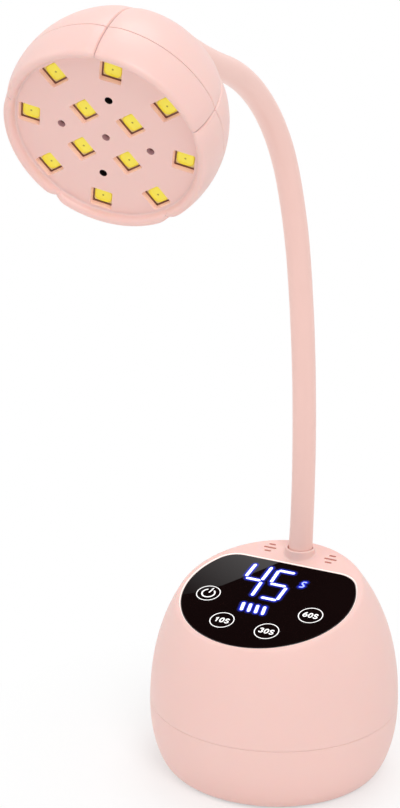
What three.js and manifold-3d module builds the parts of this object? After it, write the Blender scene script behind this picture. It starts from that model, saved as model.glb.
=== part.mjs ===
import * as THREE from 'three';
import { mergeVertices } from 'three/addons/utils/BufferGeometryUtils.js';
import Module from 'manifold-3d';

const wasm = await Module();
wasm.setup();

// A nail lamp with an egg-shaped base, a slanted touch display, a flexible neck and a
// round head with twelve lamps. Millimetres, +Z up, origin on the table under the base,
// display and head face -Y. Angles are in degrees.

// Clearances and finishes shared by all pieces
const seatGap = 0.3;
const overrun = 1;
const wall = 2.2;
const seamChamfer = 0.35;

// Base casing
const baseRadius = 45;
const bellyHeight = 24.5;
const footInset = 7.6;
const cornerReach = 3.05;
const lowerBulge = 13.4;
const upperBulge = 29.9;
const crownRadius = 18.2;
const crownRise = 16.2;
const crownReach = 21.55;
const crownAngle = 41.7;
const footProud = 0.6;
const seamRise = 0.9;
const tongueHeight = 2.2;
const tongueWall = 1.2;
const tongueClearance = 0.6;
const topHeight = 69.1;
const topTilt = 14;
const topWall = 3.8;
const rimFillet = 1.1;

// Foot, counterweight and screws under the base
const footPadInset = 2.4;
const footPadThickness = 1.4;
const counterweightInset = 12;
const counterweightThickness = 6;
const postInset = 14;
const postAngles = [30, 150, 270];
const postRadius = 3.2;
const postSleeve = 0.6;
const postRib = 1.6;
const postJointHeight = 15;
const baseScrewRadius = 1.5;
const baseScrewLength = 12;
const baseScrewHeadRadius = 2.6;
const baseScrewHeadHeight = 1.8;
const baseScrewHeadLevel = 7;

// Display window, a D shape measured in the slanted top
const windowSideMargin = 1.49;
const windowFrontMargin = 1.25;
const windowCollarGap = 1.23;
const windowWidestToChord = 20.2;
const windowCornerRun = 5;
const windowCornerTurn = 9;
const windowThickness = 1.6;
const windowSink = 0.15;
const windowBevel = 0.3;
const windowLedge = 2.1;
const wellWall = 1.4;
const wellDepth = 6.5;

// What sits behind the window
const boardThickness = 1.6;
const displayPadGap = 0.5;
const displayDepthRoom = 12.5;
const displayCentreX = 1.5;
const displayBehindWidest = 3.6;
const padRadius = 3.2;
const keyShares = [
  ['touch_pad_power', -0.645, -0.195],
  ['touch_pad_10s', -0.283, -0.62],
  ['touch_pad_30s', 0.283, -0.62],
  ['touch_pad_60s', 0.645, -0.195],
];

// Vent slots beside the collar
const ventCollarGap = 6.3;
const ventPitch = 2.1;
const ventWidth = 0.8;
const ventLong = 4.9;
const ventShort = 2.7;

// Battery and charging
const cellRadius = 9.2;
const cellEndRoom = 1.5;
const cellTipRadius = 3;
const cellTipLength = 1;
const cellY = -7;
const cradleWall = 1.6;
const cradleEndInset = 11;
const cradleHeight = 11;
const chargeBoardWidth = 24;
const chargeBoardDepth = 17;
const chargeBoardInset = 7.5;
const socketWidth = 8.94;
const socketHeight = 3.26;
const socketLength = 7.4;
const socketWall = 0.4;
const socketMouthInset = 1.6;
const socketTongueHeight = 0.7;
const inletClearance = 0.35;

// Neck: a tube that follows stretches, each with its length and its bend
const neckRadius = 4.34;
const neckFlareWidth = 0.32;
const neckFlareLength = 7;
const neckStartAngle = -4.5;
const neckFootLength = 30;
const neckFootTurn = 4.6;
const shankLength = 81;
const shankTurn = 12;
const shoulderLength = 34.8;
const shoulderTurn = 12.2;
const bowLength = 67.7;
const bowTurn = 49.6;
const overLength = 30.3;
const overTurn = -8;
const overSideTurn = 0.4;
const dropLength = 16;
const dropTurn = 52;
const dropSideTurn = 4.3;
const endLength = 1.8;
const endTurn = 0;
const neckFirstJoint = 13;
const neckLastJointFromEnd = 17.3;
const neckRingTurn = 9;
const neckJoints = 12;
const neckBallClearance = 0.03;
const neckSideClearance = 0.4;
const collarRadius = 5.8;
const collarRimGap = 2;
const collarProud = 0.2;
const collarFillet = 0.5;
const collarSocketDepth = 5;
const collarFloor = 2.2;
const flangeRadius = 4.3;
const flangeThickness = 1.2;
const ferruleRadius = 3;
const ferruleBore = 1.5;
const ferruleTail = 1;
const nutAcrossFlats = 10;
const nutHeight = 4;

// Head
const headRadius = 31.8;
const headHalfDepth = 31.6;
const headWidestBehind = 8.1;
const headSeamBehind = 8.6;
const headRimFront = 3;
const headRimRound = 1.1;
const headRimCurlAngle = 36;
const headRimNotch = 0.8;
const petalCornerShare = 0.4;
const lipSetback = 0.765;
const headWall = 2.2;
const headTongue = 2.2;
const headCollarRadius = 6;
const headCollarHeight = 2.6;
const petals = 5;
const petalPhaseAngle = 26.9;
const grooveWidth = 1.7;
const grooveDepth = 0.9;
const patternTurn = -18.2;

// Lamp plate, board and lamps
const plateThickness = 1.8;
const plateLedge = 1.5;
const ledgeThickness = 1.8;
const ledBoardSideGap = 0.5;
const ledEdgeRoom = 4.95;
const outerLamps = 8;
const innerLamps = 4;
const innerLampAngle = 45;
const ledInnerCircle = 9.7;
const ledWidth = 5.4;
const ledHeight = 1.5;
const ledRecess = 1.5;
const ledBevel = 0.25;
const ledWindow = 6.5;
const ledWindowFlare = 0.3;
const plateHoleRadius = 1.25;
const plateHoleInset = 14.7;
const plateHoleAngles = [0, 90, 180, 270];
const plateScrewRadius = 0.8;
const plateScrewHeadRadius = 1.8;
const plateScrewHeadHeight = 0.9;
const plateScrewLength = 9;
const headPostRadius = 3;

// Facets
const baseFacets = 48;
const innerFacets = 30;
const petalColumns = 8;
const headFacets = petals * petalColumns;
const headInnerFacets = 30;
const neckFacets = 12;
const ballFootAngle = 22.5;
const smallFacets = 20;
const fineFacets = 10;

// Sizes that follow from others

const footRadius = baseRadius - footInset;
const crownHeight = topHeight + crownRise;
const footPadRadius = footRadius - footPadInset;
const counterweightRadius = baseRadius - counterweightInset;
const postCircle = baseRadius - postInset;
const cradleLength = 2 * (baseRadius - cradleEndInset);
const cellLength = cradleLength - 2 * cellEndRoom;
const chargeBoardRearY = baseRadius - chargeBoardInset;
const socketMouthY = baseRadius - socketMouthInset;
const neckStretches = [
  [neckFootLength, neckFootTurn, 0], [shankLength, shankTurn, 0],
  [shoulderLength, shoulderTurn, 0], [bowLength, bowTurn, 0],
  [overLength, overTurn, overSideTurn], [dropLength, dropTurn, dropSideTurn],
  [endLength, endTurn, 0],
];

const radians = THREE.MathUtils.degToRad;
const tiltTangent = Math.tan(radians(topTilt));
const tiltCosine = Math.cos(radians(topTilt));

const pink = { color: 0xf0c3b9, roughness: 0.45, metalness: 0 };
const black = { color: 0x08080a, roughness: 0.08, metalness: 0 };
const steel = { color: 0x9a9ca0, roughness: 0.4, metalness: 1 };
const brass = { color: 0xb8984e, roughness: 0.35, metalness: 1 };
const boardGreen = { color: 0x2c5a3a, roughness: 0.6, metalness: 0 };
const boardWhite = { color: 0xe9dcd2, roughness: 0.55, metalness: 0 };
const yellow = { color: 0xf0df4a, roughness: 0.4, metalness: 0 };
const grey = { color: 0x6c6c70, roughness: 0.7, metalness: 0 };
const blue = { color: 0x4068b0, roughness: 0.4, metalness: 0 };

// Solids: a closed mesh to and from a solid for cuts and joins

function solid(geometry) {
  const bare = geometry.clone();
  bare.deleteAttribute('normal');
  bare.deleteAttribute('uv');
  const merged = mergeVertices(bare);
  const place = merged.getAttribute('position');
  const corners = Array.from(merged.index.array);
  const faces = [];
  let volume = 0;
  const a = new THREE.Vector3();
  const b = new THREE.Vector3();
  const c = new THREE.Vector3();
  for (let i = 0; i < corners.length; i += 3) {
    const [p, q, r] = corners.slice(i, i + 3);
    if (p === q || q === r || r === p) continue;
    faces.push(p, q, r);
    a.fromBufferAttribute(place, p);
    b.fromBufferAttribute(place, q);
    c.fromBufferAttribute(place, r);
    volume += a.dot(b.cross(c));
  }
  if (volume < 0) faces.reverse();
  return new wasm.Manifold(new wasm.Mesh({
    numProp: 3,
    vertProperties: new Float32Array(place.array),
    triVerts: new Uint32Array(faces),
  }));
}

function shape(body) {
  const mesh = body.getMesh();
  const geometry = new THREE.BufferGeometry();
  geometry.setAttribute('position', new THREE.BufferAttribute(new Float32Array(mesh.vertProperties), 3));
  geometry.setIndex(new THREE.BufferAttribute(new Uint32Array(mesh.triVerts), 1));
  return geometry;
}

function piece(parent, name, body, look) {
  const material = new THREE.MeshStandardMaterial(look);
  const geometry = body.isBufferGeometry ? shape(solid(body)) : shape(body);
  const flat = geometry.toNonIndexed();
  flat.computeVertexNormals();
  geometry.dispose();
  const mesh = new THREE.Mesh(flat, material);
  mesh.name = name;
  parent.add(mesh);
  return mesh;
}

// Simple forms along Z

function revolve(points, facets) {
  return new THREE.LatheGeometry(points, facets).rotateX(Math.PI / 2);
}

function rod(radius, low, high, facets = smallFacets) {
  const height = high - low;
  return new THREE.CylinderGeometry(radius, radius, height, facets)
    .rotateX(Math.PI / 2).translate(0, 0, (low + high) / 2);
}

function slab(points, low, high) {
  const outline = new THREE.Shape(points);
  return new THREE.ExtrudeGeometry(outline, { depth: high - low, bevelEnabled: false })
    .translate(0, 0, low);
}

function box(width, depth, low, high) {
  return new THREE.BoxGeometry(width, depth, high - low).translate(0, 0, (low + high) / 2);
}

function point(r, z) {
  return new THREE.Vector2(r, z);
}

function arcPoints(centreR, centreZ, radius, from, to, steps) {
  const points = [];
  for (let i = 0; i <= steps; i++) {
    const turn = radians(from + (to - from) * i / steps);
    points.push(point(centreR + radius * Math.cos(turn), centreZ + radius * Math.sin(turn)));
  }
  return points;
}

function onCircle(radius, angle) {
  return [radius * Math.cos(radians(angle)), radius * Math.sin(radians(angle))];
}

// Base form: two curves up the side, cut by the slanted top

const lowerSide = new THREE.CubicBezierCurve(
  point(footRadius, footProud),
  point(footRadius + cornerReach, footProud),
  point(baseRadius, bellyHeight - lowerBulge),
  point(baseRadius, bellyHeight),
);
const upperSide = new THREE.CubicBezierCurve(
  point(baseRadius, bellyHeight),
  point(baseRadius, bellyHeight + upperBulge),
  point(
    crownRadius + crownReach * Math.cos(radians(crownAngle)),
    crownHeight - crownReach * Math.sin(radians(crownAngle)),
  ),
  point(crownRadius, crownHeight),
);

function insetPoints(curve, inset, steps, from = 0) {
  const points = [];
  for (let i = 0; i <= steps; i++) {
    const t = from + (1 - from) * i / steps;
    const tangent = curve.getTangent(t);
    const place = curve.getPoint(t);
    points.push(point(place.x - tangent.y * inset, place.y + tangent.x * inset));
  }
  return points;
}

function radiusAt(points, z) {
  for (let i = 1; i < points.length; i++) {
    if (points[i].y >= z) {
      const share = (z - points[i - 1].y) / (points[i].y - points[i - 1].y);
      return THREE.MathUtils.lerp(points[i - 1].x, points[i].x, share);
    }
  }
  return points.at(-1).x;
}

function topPlane(y, drop = 0) {
  return topHeight + y * tiltTangent - drop / tiltCosine;
}

function rimHeight(points, angle, drop) {
  let low = bellyHeight;
  let high = crownHeight;
  for (let i = 0; i < 40; i++) {
    const middle = (low + high) / 2;
    const y = radiusAt(points, middle) * Math.sin(angle);
    if (middle < topPlane(y, drop)) low = middle;
    else high = middle;
  }
  return low;
}

function loft(rings, bottom, top) {
  const count = rings[0].length;
  const places = rings.flat().concat([bottom, top]);
  const faces = [];
  for (let j = 0; j < count; j++) {
    const next = (j + 1) % count;
    for (let i = 1; i < rings.length; i++) {
      const low = (i - 1) * count;
      const high = i * count;
      faces.push(low + j, low + next, high + next, low + j, high + next, high + j);
    }
    const last = (rings.length - 1) * count;
    faces.push(next, j, places.length - 2, last + j, last + next, places.length - 1);
  }
  return new THREE.BufferGeometry().setFromPoints(places).setIndex(faces);
}

function mound(inset, drop, fillet, floor, rows, facets, chamfer = 0) {
  const side = insetPoints(upperSide, inset, 60);
  const filletShares = fillet > 0 ? [0, 0.35, 0.65, 1] : [1];
  const rings = Array.from({ length: rows + 1 + filletShares.length }, () => []);
  for (let j = 0; j < facets; j++) {
    const angle = 2 * Math.PI * j / facets;
    const spot = (r, z) => new THREE.Vector3(r * Math.cos(angle), r * Math.sin(angle), z);
    const rimZ = rimHeight(side, angle, drop);
    const rimR = radiusAt(side, rimZ);
    const edgeZ = rimZ - fillet;
    rings[0].push(spot(radiusAt(side, floor) - chamfer, floor));
    for (let i = 0; i < rows; i++) {
      const z = THREE.MathUtils.lerp(floor + chamfer, edgeZ, i / rows);
      rings[i + 1].push(spot(radiusAt(side, Math.max(z, bellyHeight)), z));
    }
    const start = spot(radiusAt(side, edgeZ), edgeZ);
    const corner = spot(rimR, rimZ);
    const inner = spot(rimR - fillet, topPlane((rimR - fillet) * Math.sin(angle), drop));
    filletShares.forEach((share, i) => {
      const curve = new THREE.QuadraticBezierCurve3(start, corner, inner);
      rings[rows + 1 + i].push(fillet > 0 ? curve.getPoint(share) : corner);
    });
  }
  const bottom = new THREE.Vector3(0, 0, floor);
  const top = new THREE.Vector3(0, 0, topPlane(0, drop));
  return solid(loft(rings, bottom, top));
}

// Places worked out from the sizes above

const upperOutline = insetPoints(upperSide, 0, 60);

function rimRadius(angle) {
  return radiusAt(upperOutline, rimHeight(upperOutline, angle, 0));
}

const neckFootY = rimRadius(Math.PI / 2) - collarRimGap - collarRadius;
const windowFront = rimRadius(-Math.PI / 2) / tiltCosine - windowFrontMargin;
const windowHalfWidth = rimRadius(0) - windowSideMargin;
const windowChord = (neckFootY - collarRadius) / tiltCosine - windowCollarGap;
const windowCentre = windowChord - windowWidestToChord;
const windowHalfDepth = windowFront + windowCentre;
const ventX = collarRadius + ventCollarGap;
const ventY = neckFootY / tiltCosine;
const seamHeight = bellyHeight + seamRise;
const coverFloor = footPadThickness + seatGap + wall;
const collarTop = topPlane(neckFootY + collarRadius) + collarProud;
const socketFloor = collarTop - collarSocketDepth;
const collarBottom = socketFloor - collarFloor;
const socketRadius = neckRadius + neckSideClearance;
const ferruleHole = ferruleRadius + seatGap;
const neckStart = socketFloor + seatGap + flangeThickness + seatGap;
const windowPocket = windowSink + windowThickness + seatGap;
const boardTop = wellDepth + seatGap;
const counterweightLow = coverFloor + seatGap;
const counterweightHigh = counterweightLow + counterweightThickness;
const cradleLow = counterweightHigh + seatGap;
const cellAxis = cradleLow + cradleWall + seatGap + cellRadius;
const chargeBoardLow = counterweightHigh + seatGap;
const chargeBoardHigh = chargeBoardLow + boardThickness;
const socketAxis = chargeBoardHigh + seatGap + socketHeight / 2;

const slantedTop = new THREE.Matrix4()
  .makeTranslation(0, 0, topHeight)
  .multiply(new THREE.Matrix4().makeRotationX(radians(topTilt)));

function windowOutline(inset) {
  const halfWidth = windowHalfWidth - inset;
  const halfDepth = windowHalfDepth - inset;
  const chord = windowChord - inset;
  const cornerTurn = Math.asin((chord - windowCentre) / halfDepth);
  const arcTurn = cornerTurn - radians(windowCornerTurn);
  const corner = point(halfWidth * Math.cos(cornerTurn), chord);
  const arcEnd = point(halfWidth * Math.cos(arcTurn), windowCentre + halfDepth * Math.sin(arcTurn));
  const chordEnd = point(corner.x - windowCornerRun, chord);
  const bend = new THREE.QuadraticBezierCurve(chordEnd, corner, arcEnd).getPoints(4);
  const arc = [];
  const steps = 36;
  for (let i = 1; i < steps; i++) {
    const turn = arcTurn - (Math.PI + 2 * arcTurn) * i / steps;
    arc.push(point(halfWidth * Math.cos(turn), windowCentre + halfDepth * Math.sin(turn)));
  }
  const mirrored = bend.map((p) => point(-p.x, p.y)).reverse();
  return [...bend, ...arc, ...mirrored].reverse();
}

function slotOutline(x, y, length, width, steps = 4) {
  const radius = width / 2;
  const reach = length / 2 - radius;
  const right = arcPoints(x + reach, y, radius, -90, 90, steps);
  const left = arcPoints(x - reach, y, radius, 90, 270, steps);
  return [...right, ...left];
}

// Base casing

function ventCuts() {
  const cuts = [];
  for (const side of [-1, 1]) {
    for (const row of [-1, 0, 1]) {
      const length = row === 0 ? ventLong : ventShort;
      const outline = slotOutline(side * ventX, ventY + row * ventPitch, length, ventWidth, 2);
      cuts.push(solid(slab(outline, -topWall - overrun, overrun).applyMatrix4(slantedTop)));
    }
  }
  return cuts;
}

function collarSolid() {
  const profile = [
    point(0, collarBottom),
    point(collarRadius, collarBottom),
    ...arcPoints(collarRadius - collarFillet, collarTop - collarFillet, collarFillet, 0, 90, 3),
    point(0, collarTop),
  ];
  return solid(revolve(profile, smallFacets).translate(0, neckFootY, 0));
}

function upperPosts() {
  const limit = mound(wall / 2, boardTop + boardThickness + overrun, 0, 0, 6, innerFacets);
  return postAngles.map((angle) => {
    const low = postJointHeight + seatGap;
    const ribLow = seamHeight + tongueHeight + overrun;
    const reach = baseRadius - postCircle;
    const post = rod(postRadius, low, crownHeight, fineFacets).translate(postCircle, 0, 0);
    const rib = box(reach, postRib, ribLow, crownHeight).translate(postCircle + reach / 2, 0, 0);
    const turned = (body) => solid(body.rotateZ(radians(angle)));
    return turned(post).add(turned(rib)).intersect(limit);
  });
}

function displayWell() {
  const outer = slab(windowOutline(windowLedge - wellWall), -wellDepth, -topWall / 2);
  const inner = slab(windowOutline(windowLedge), -wellDepth - overrun, 0);
  return solid(outer.applyMatrix4(slantedTop)).subtract(solid(inner.applyMatrix4(slantedTop)));
}

function upperShell() {
  const floor = seamHeight + seatGap / 2;
  const bottomless = floor - overrun;
  let body = mound(0, 0, rimFillet, floor, 6, baseFacets, seamChamfer)
    .subtract(mound(wall, topWall, 0, bottomless, 4, innerFacets));
  body = body.add(displayWell()).add(collarSolid());
  for (const post of upperPosts()) body = body.add(post);
  const pocket = slab(windowOutline(-seatGap), -windowPocket, overrun);
  const opening = slab(windowOutline(windowLedge), -wellDepth - overrun, overrun);
  const cuts = [
    solid(pocket.applyMatrix4(slantedTop)),
    solid(opening.applyMatrix4(slantedTop)),
    solid(rod(socketRadius, socketFloor, collarTop + overrun).translate(0, neckFootY, 0)),
    solid(rod(ferruleHole, collarBottom - overrun, collarTop).translate(0, neckFootY, 0)),
    ...ventCuts(),
  ];
  for (const angle of postAngles) {
    const [x, y] = onCircle(postCircle, angle);
    const depth = postJointHeight + baseScrewLength + overrun;
    const hole = rod(baseScrewRadius + seatGap, postJointHeight - overrun, depth, fineFacets);
    cuts.push(solid(hole.translate(x, y, 0)));
  }
  for (const cut of cuts) body = body.subtract(cut);
  return body;
}

function coverOuter(inset, steps, ceiling) {
  return [
    point(0, ceiling),
    point(footPadRadius + seatGap, ceiling),
    point(footPadRadius + seatGap, footProud),
    ...insetPoints(lowerSide, inset, steps),
  ];
}

function coverBowl() {
  const seam = seamHeight - seatGap / 2;
  const tongueRadius = baseRadius - wall - tongueClearance;
  const tongueTop = seamHeight + tongueHeight;
  const outer = revolve([
    ...coverOuter(0, 9, footPadThickness + seatGap),
    point(baseRadius, seam - seamChamfer),
    point(baseRadius - seamChamfer, seam),
    point(tongueRadius, seam),
    point(tongueRadius, tongueTop),
    point(0, tongueTop),
  ], baseFacets);
  const side = insetPoints(lowerSide, wall, 40);
  const inner = revolve([
    point(0, coverFloor),
    point(radiusAt(side, coverFloor), coverFloor),
    ...insetPoints(lowerSide, wall, 6).filter((p) => p.y > coverFloor + wall).slice(0, -1),
    point(tongueRadius - tongueWall, bellyHeight),
    point(tongueRadius - tongueWall, tongueTop + overrun),
    point(0, tongueTop + overrun),
  ], innerFacets);
  return solid(outer).subtract(solid(inner));
}

function coverPosts() {
  const low = coverFloor - wall / 2;
  const posts = postAngles.map((angle) => {
    const [x, y] = onCircle(postCircle, angle);
    return rod(postRadius + postSleeve, low, postJointHeight, fineFacets).translate(x, y, 0);
  });
  for (const side of [-1, 1]) {
    const x = side * (chargeBoardWidth / 2 - postRadius);
    const y = chargeBoardRearY - postRadius / 2;
    const post = rod(postRadius / 2, low, chargeBoardLow - seatGap, fineFacets);
    posts.push(post.translate(x, y, 0));
  }
  const limit = solid(revolve([
    point(0, 0),
    ...insetPoints(lowerSide, wall / 2, 6),
    point(0, bellyHeight),
  ], innerFacets));
  return posts.map((post) => solid(post).intersect(limit));
}

function lowerCover() {
  let body = coverBowl();
  for (const post of coverPosts()) body = body.add(post);
  for (const angle of postAngles) {
    const [x, y] = onCircle(postCircle, angle);
    const headHole = baseScrewHeadRadius + seatGap;
    const counterbore = rod(headHole, -overrun, baseScrewHeadLevel, fineFacets);
    const hole = rod(baseScrewRadius + seatGap, 0, postJointHeight + overrun, fineFacets);
    body = body.subtract(solid(counterbore.translate(x, y, 0)));
    body = body.subtract(solid(hole.translate(x, y, 0)));
  }
  const height = socketHeight + 2 * inletClearance;
  const width = socketWidth + 2 * inletClearance;
  const inlet = slab(slotOutline(0, 0, width, height), 0, baseRadius)
    .rotateX(-Math.PI / 2).translate(0, chargeBoardRearY, socketAxis);
  return body.subtract(solid(inlet));
}

function footPad() {
  const edge = footPadThickness / 3;
  return revolve([
    point(0, 0),
    point(footPadRadius - edge, 0),
    point(footPadRadius, edge),
    point(footPadRadius, footPadThickness),
    point(0, footPadThickness),
  ], innerFacets);
}

function screw(radius, length, headRadius, headHeight, slotWidth) {
  const profile = [
    point(0, 0), point(headRadius, 0), point(headRadius, headHeight), point(radius, headHeight),
    point(radius, headHeight + length - radius), point(radius / 3, headHeight + length),
    point(0, headHeight + length),
  ];
  const slot = box(slotWidth, headRadius * 4 / 3, -overrun, headHeight / 2);
  const cross = slot.clone().rotateZ(Math.PI / 2);
  return solid(revolve(profile, fineFacets)).subtract(solid(slot)).subtract(solid(cross));
}

function addBaseScrews(parent) {
  const names = ['base_screw_right', 'base_screw_left', 'base_screw_front'];
  names.forEach((name, i) => {
    const [x, y] = onCircle(postCircle, postAngles[i]);
    const body = screw(
      baseScrewRadius, baseScrewLength, baseScrewHeadRadius, baseScrewHeadHeight, baseScrewRadius / 2,
    );
    const mesh = piece(parent, name, body, steel);
    mesh.position.set(x, y, baseScrewHeadLevel - baseScrewHeadHeight - seatGap);
  });
}

// Counterweight, battery and charging

function counterweight() {
  let body = solid(rod(counterweightRadius, counterweightLow, counterweightHigh, innerFacets));
  for (const angle of postAngles) {
    const notch = rod(postRadius + postSleeve + seatGap, 0, counterweightHigh + overrun, fineFacets)
      .translate(postCircle, 0, 0);
    const mouth = box(postCircle, 2 * (postRadius + postSleeve + seatGap), 0, counterweightHigh + overrun)
      .translate(postCircle * 3 / 2, 0, 0);
    body = body.subtract(solid(notch.rotateZ(radians(angle))));
    body = body.subtract(solid(mouth.rotateZ(radians(angle))));
  }
  return body;
}

function batteryCradle() {
  const trough = cellRadius + seatGap;
  const halfWidth = trough + cradleWall;
  const axis = cellAxis - cradleLow;
  const section = [
    point(-halfWidth, 0), point(halfWidth, 0), point(halfWidth, cradleHeight),
    ...arcPoints(0, axis, trough, 0, -180, 14).filter((p) => p.y < cradleHeight),
    point(-halfWidth, cradleHeight),
  ];
  const edge = Math.sqrt(trough ** 2 - (cradleHeight - axis) ** 2);
  section.splice(3, 0, point(edge, cradleHeight));
  section.splice(section.length - 1, 0, point(-edge, cradleHeight));
  return slab(section, -cradleLength / 2, cradleLength / 2)
    .rotateX(Math.PI / 2).rotateZ(Math.PI / 2).translate(0, cellY, cradleLow);
}

function batteryCell() {
  const end = cellLength / 2;
  const edge = cellTipLength / 2;
  return revolve([
    point(0, -end), point(cellRadius - edge, -end), point(cellRadius, -end + edge),
    point(cellRadius, end - edge), point(cellRadius - edge, end), point(cellTipRadius, end),
    point(cellTipRadius, end + cellTipLength), point(0, end + cellTipLength),
  ], smallFacets).rotateY(Math.PI / 2).translate(0, cellY, cellAxis);
}

function usbSocket() {
  const bodyRear = socketMouthY - socketLength;
  const outer = slab(slotOutline(0, 0, socketWidth, socketHeight), 0, socketLength);
  const bore = slab(
    slotOutline(0, 0, socketWidth - 2 * socketWall, socketHeight - 2 * socketWall),
    socketWall * 2, socketLength + overrun,
  );
  const tongueWidth = socketWidth - socketHeight;
  const tongue = new THREE.BoxGeometry(tongueWidth, socketTongueHeight, socketLength - 2 * socketWall)
    .translate(0, 0, socketLength / 2);
  const body = solid(outer).subtract(solid(bore)).add(solid(tongue));
  return shape(body).rotateX(-Math.PI / 2).translate(0, bodyRear, socketAxis);
}

function addElectrics(parent) {
  piece(parent, 'battery_cradle', batteryCradle(), black);
  piece(parent, 'battery_cell', batteryCell(), blue);
  const board = box(chargeBoardWidth, chargeBoardDepth, chargeBoardLow, chargeBoardHigh)
    .translate(0, chargeBoardRearY - chargeBoardDepth / 2, 0);
  piece(parent, 'charge_board', board, boardGreen);
  piece(parent, 'usb_socket', usbSocket(), steel);
}

// Display under the slanted top

function displayWindow(low) {
  const levels = [[0, low], [0, -windowSink - windowBevel], [windowBevel, -windowSink]];
  const rings = levels.map(([inset, z]) => {
    return windowOutline(inset).map((p) => new THREE.Vector3(p.x, p.y, z));
  });
  const middle = (z) => new THREE.Vector3(0, windowCentre, z);
  return solid(loft(rings, middle(low), middle(-windowSink)));
}

function addDisplay(parent) {
  const top = new THREE.Group();
  top.applyMatrix4(slantedTop);
  parent.add(top);
  const windowLow = -windowSink - windowThickness;
  piece(top, 'display_window', displayWindow(windowLow), black);
  const boardInset = windowLedge - wellWall;
  const board = slab(windowOutline(boardInset), -boardTop - boardThickness, -boardTop);
  piece(top, 'control_board', board, boardGreen);
  const low = -boardTop + seatGap;
  const high = windowLow - seatGap;
  const nearestPad = Math.max(...keyShares.map(([, acrossShare]) => acrossShare)) * windowHalfWidth;
  const displayWidth = 2 * (nearestPad - padRadius - displayPadGap - displayCentreX);
  const display = box(displayWidth, windowHalfDepth - displayDepthRoom, low, high)
    .translate(displayCentreX, windowCentre + displayBehindWidest, 0);
  piece(top, 'digit_display', display, grey);
  for (const [name, acrossShare, upShare] of keyShares) {
    const pad = rod(padRadius, low, high, fineFacets)
      .translate(acrossShare * windowHalfWidth, windowCentre + upShare * windowHalfDepth, 0);
    piece(top, name, pad, grey);
  }
}

// Neck: the centre line from its arcs, then one solid between each two joints

const neckLength = neckStretches.reduce((sum, [length]) => sum + length, 0);

function neckLine() {
  const line = [];
  const place = new THREE.Vector3(0, neckFootY, neckStart);
  let lean = neckStartAngle;
  let side = 0;
  let along = 0;
  const heading = () => new THREE.Vector3(
    Math.sin(radians(side)),
    -Math.sin(radians(lean)) * Math.cos(radians(side)),
    Math.cos(radians(lean)) * Math.cos(radians(side)),
  );
  line.push({ along, place: place.clone(), heading: heading() });
  for (const [length, bend, sideTurn] of neckStretches) {
    const steps = 24;
    const step = length / steps;
    for (let k = 0; k < steps; k++) {
      lean += bend / steps / 2;
      side += sideTurn / steps / 2;
      place.addScaledVector(heading(), step);
      lean += bend / steps / 2;
      side += sideTurn / steps / 2;
      along += step;
      line.push({ along, place: place.clone(), heading: heading() });
    }
  }
  return line;
}

const neckStations = neckLine();

function neckStation(wanted) {
  const along = Math.min(wanted, neckStations.at(-1).along);
  const next = Math.max(1, neckStations.findIndex((station) => station.along >= along));
  const a = neckStations[next - 1];
  const b = neckStations[next];
  const share = (along - a.along) / (b.along - a.along);
  return {
    place: a.place.clone().lerp(b.place, share),
    heading: a.heading.clone().lerp(b.heading, share).normalize(),
  };
}

function neckRing(station, offset, radius) {
  const right = new THREE.Vector3(1, 0, 0);
  right.addScaledVector(station.heading, -right.dot(station.heading)).normalize();
  const up = new THREE.Vector3().crossVectors(station.heading, right);
  const centre = station.place.clone().addScaledVector(station.heading, offset);
  const spot = (p) => centre.clone().addScaledVector(right, p.x).addScaledVector(up, p.y);
  return arcPoints(0, 0, radius, 0, 360, neckFacets).slice(0, -1).map(spot);
}

function ballRings(station, radius, from, to, steps) {
  const rings = [];
  for (let i = 0; i <= steps; i++) {
    const turn = radians(from + (to - from) * i / steps);
    rings.push(neckRing(station, radius * Math.cos(turn), radius * Math.sin(turn)));
  }
  return rings;
}

// A section is a tube with a cup in its lower end and a ball on its upper end
function neckSection(from, to, isFirst, isLast) {
  const start = neckStation(from);
  const end = neckStation(to);
  const bottom = start.place.clone();
  const top = end.place.clone();
  const rings = [];
  let tubeFrom = from;
  if (!isFirst) {
    const cupRadius = neckRadius + seatGap;
    const rim = THREE.MathUtils.radToDeg(Math.asin(neckRadius / cupRadius));
    rings.push(...ballRings(start, cupRadius, rim / 4, rim, 3));
    bottom.addScaledVector(start.heading, cupRadius);
    tubeFrom += Math.sqrt(cupRadius ** 2 - neckRadius ** 2);
  }
  const bend = THREE.MathUtils.radToDeg(start.heading.angleTo(end.heading));
  const steps = Math.round(Math.max((to - from) / neckRadius - 1, bend / neckRingTurn));
  for (let i = isFirst ? 0 : 1; i <= steps; i++) {
    const along = THREE.MathUtils.lerp(tubeFrom, to, i / steps);
    const flare = isFirst ? neckFlareWidth * Math.max(0, 1 - along / neckFlareLength) : 0;
    rings.push(neckRing(neckStation(along), 0, neckRadius + flare));
  }
  if (!isLast) {
    const ballRadius = neckRadius * Math.cos(Math.PI / neckFacets) - neckBallClearance;
    rings.push(...ballRings(end, ballRadius, 90, ballFootAngle, 3));
    top.addScaledVector(end.heading, ballRadius);
  }
  return solid(loft(rings, bottom, top));
}

function neckJointPlaces() {
  const last = neckLength - neckLastJointFromEnd;
  const places = [];
  for (let i = 0; i < neckJoints; i++) {
    places.push(neckFirstJoint + (last - neckFirstJoint) * i / (neckJoints - 1));
  }
  return places;
}

function addNeck(parent) {
  const joints = neckJointPlaces();
  const ends = [0, ...joints, neckLength];
  for (let i = 0; i + 1 < ends.length; i++) {
    const name = `neck_section_${String(i).padStart(2, '0')}`;
    const body = neckSection(ends[i], ends[i + 1], i === 0, i + 2 === ends.length);
    piece(parent, name, body, pink);
  }
}

function ferrule(tail) {
  return revolve([
    point(ferruleBore, -tail), point(ferruleRadius, -tail), point(ferruleRadius, 0),
    point(flangeRadius, 0), point(flangeRadius, flangeThickness),
    point(ferruleBore, flangeThickness), point(ferruleBore, -tail),
  ], fineFacets);
}

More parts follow.
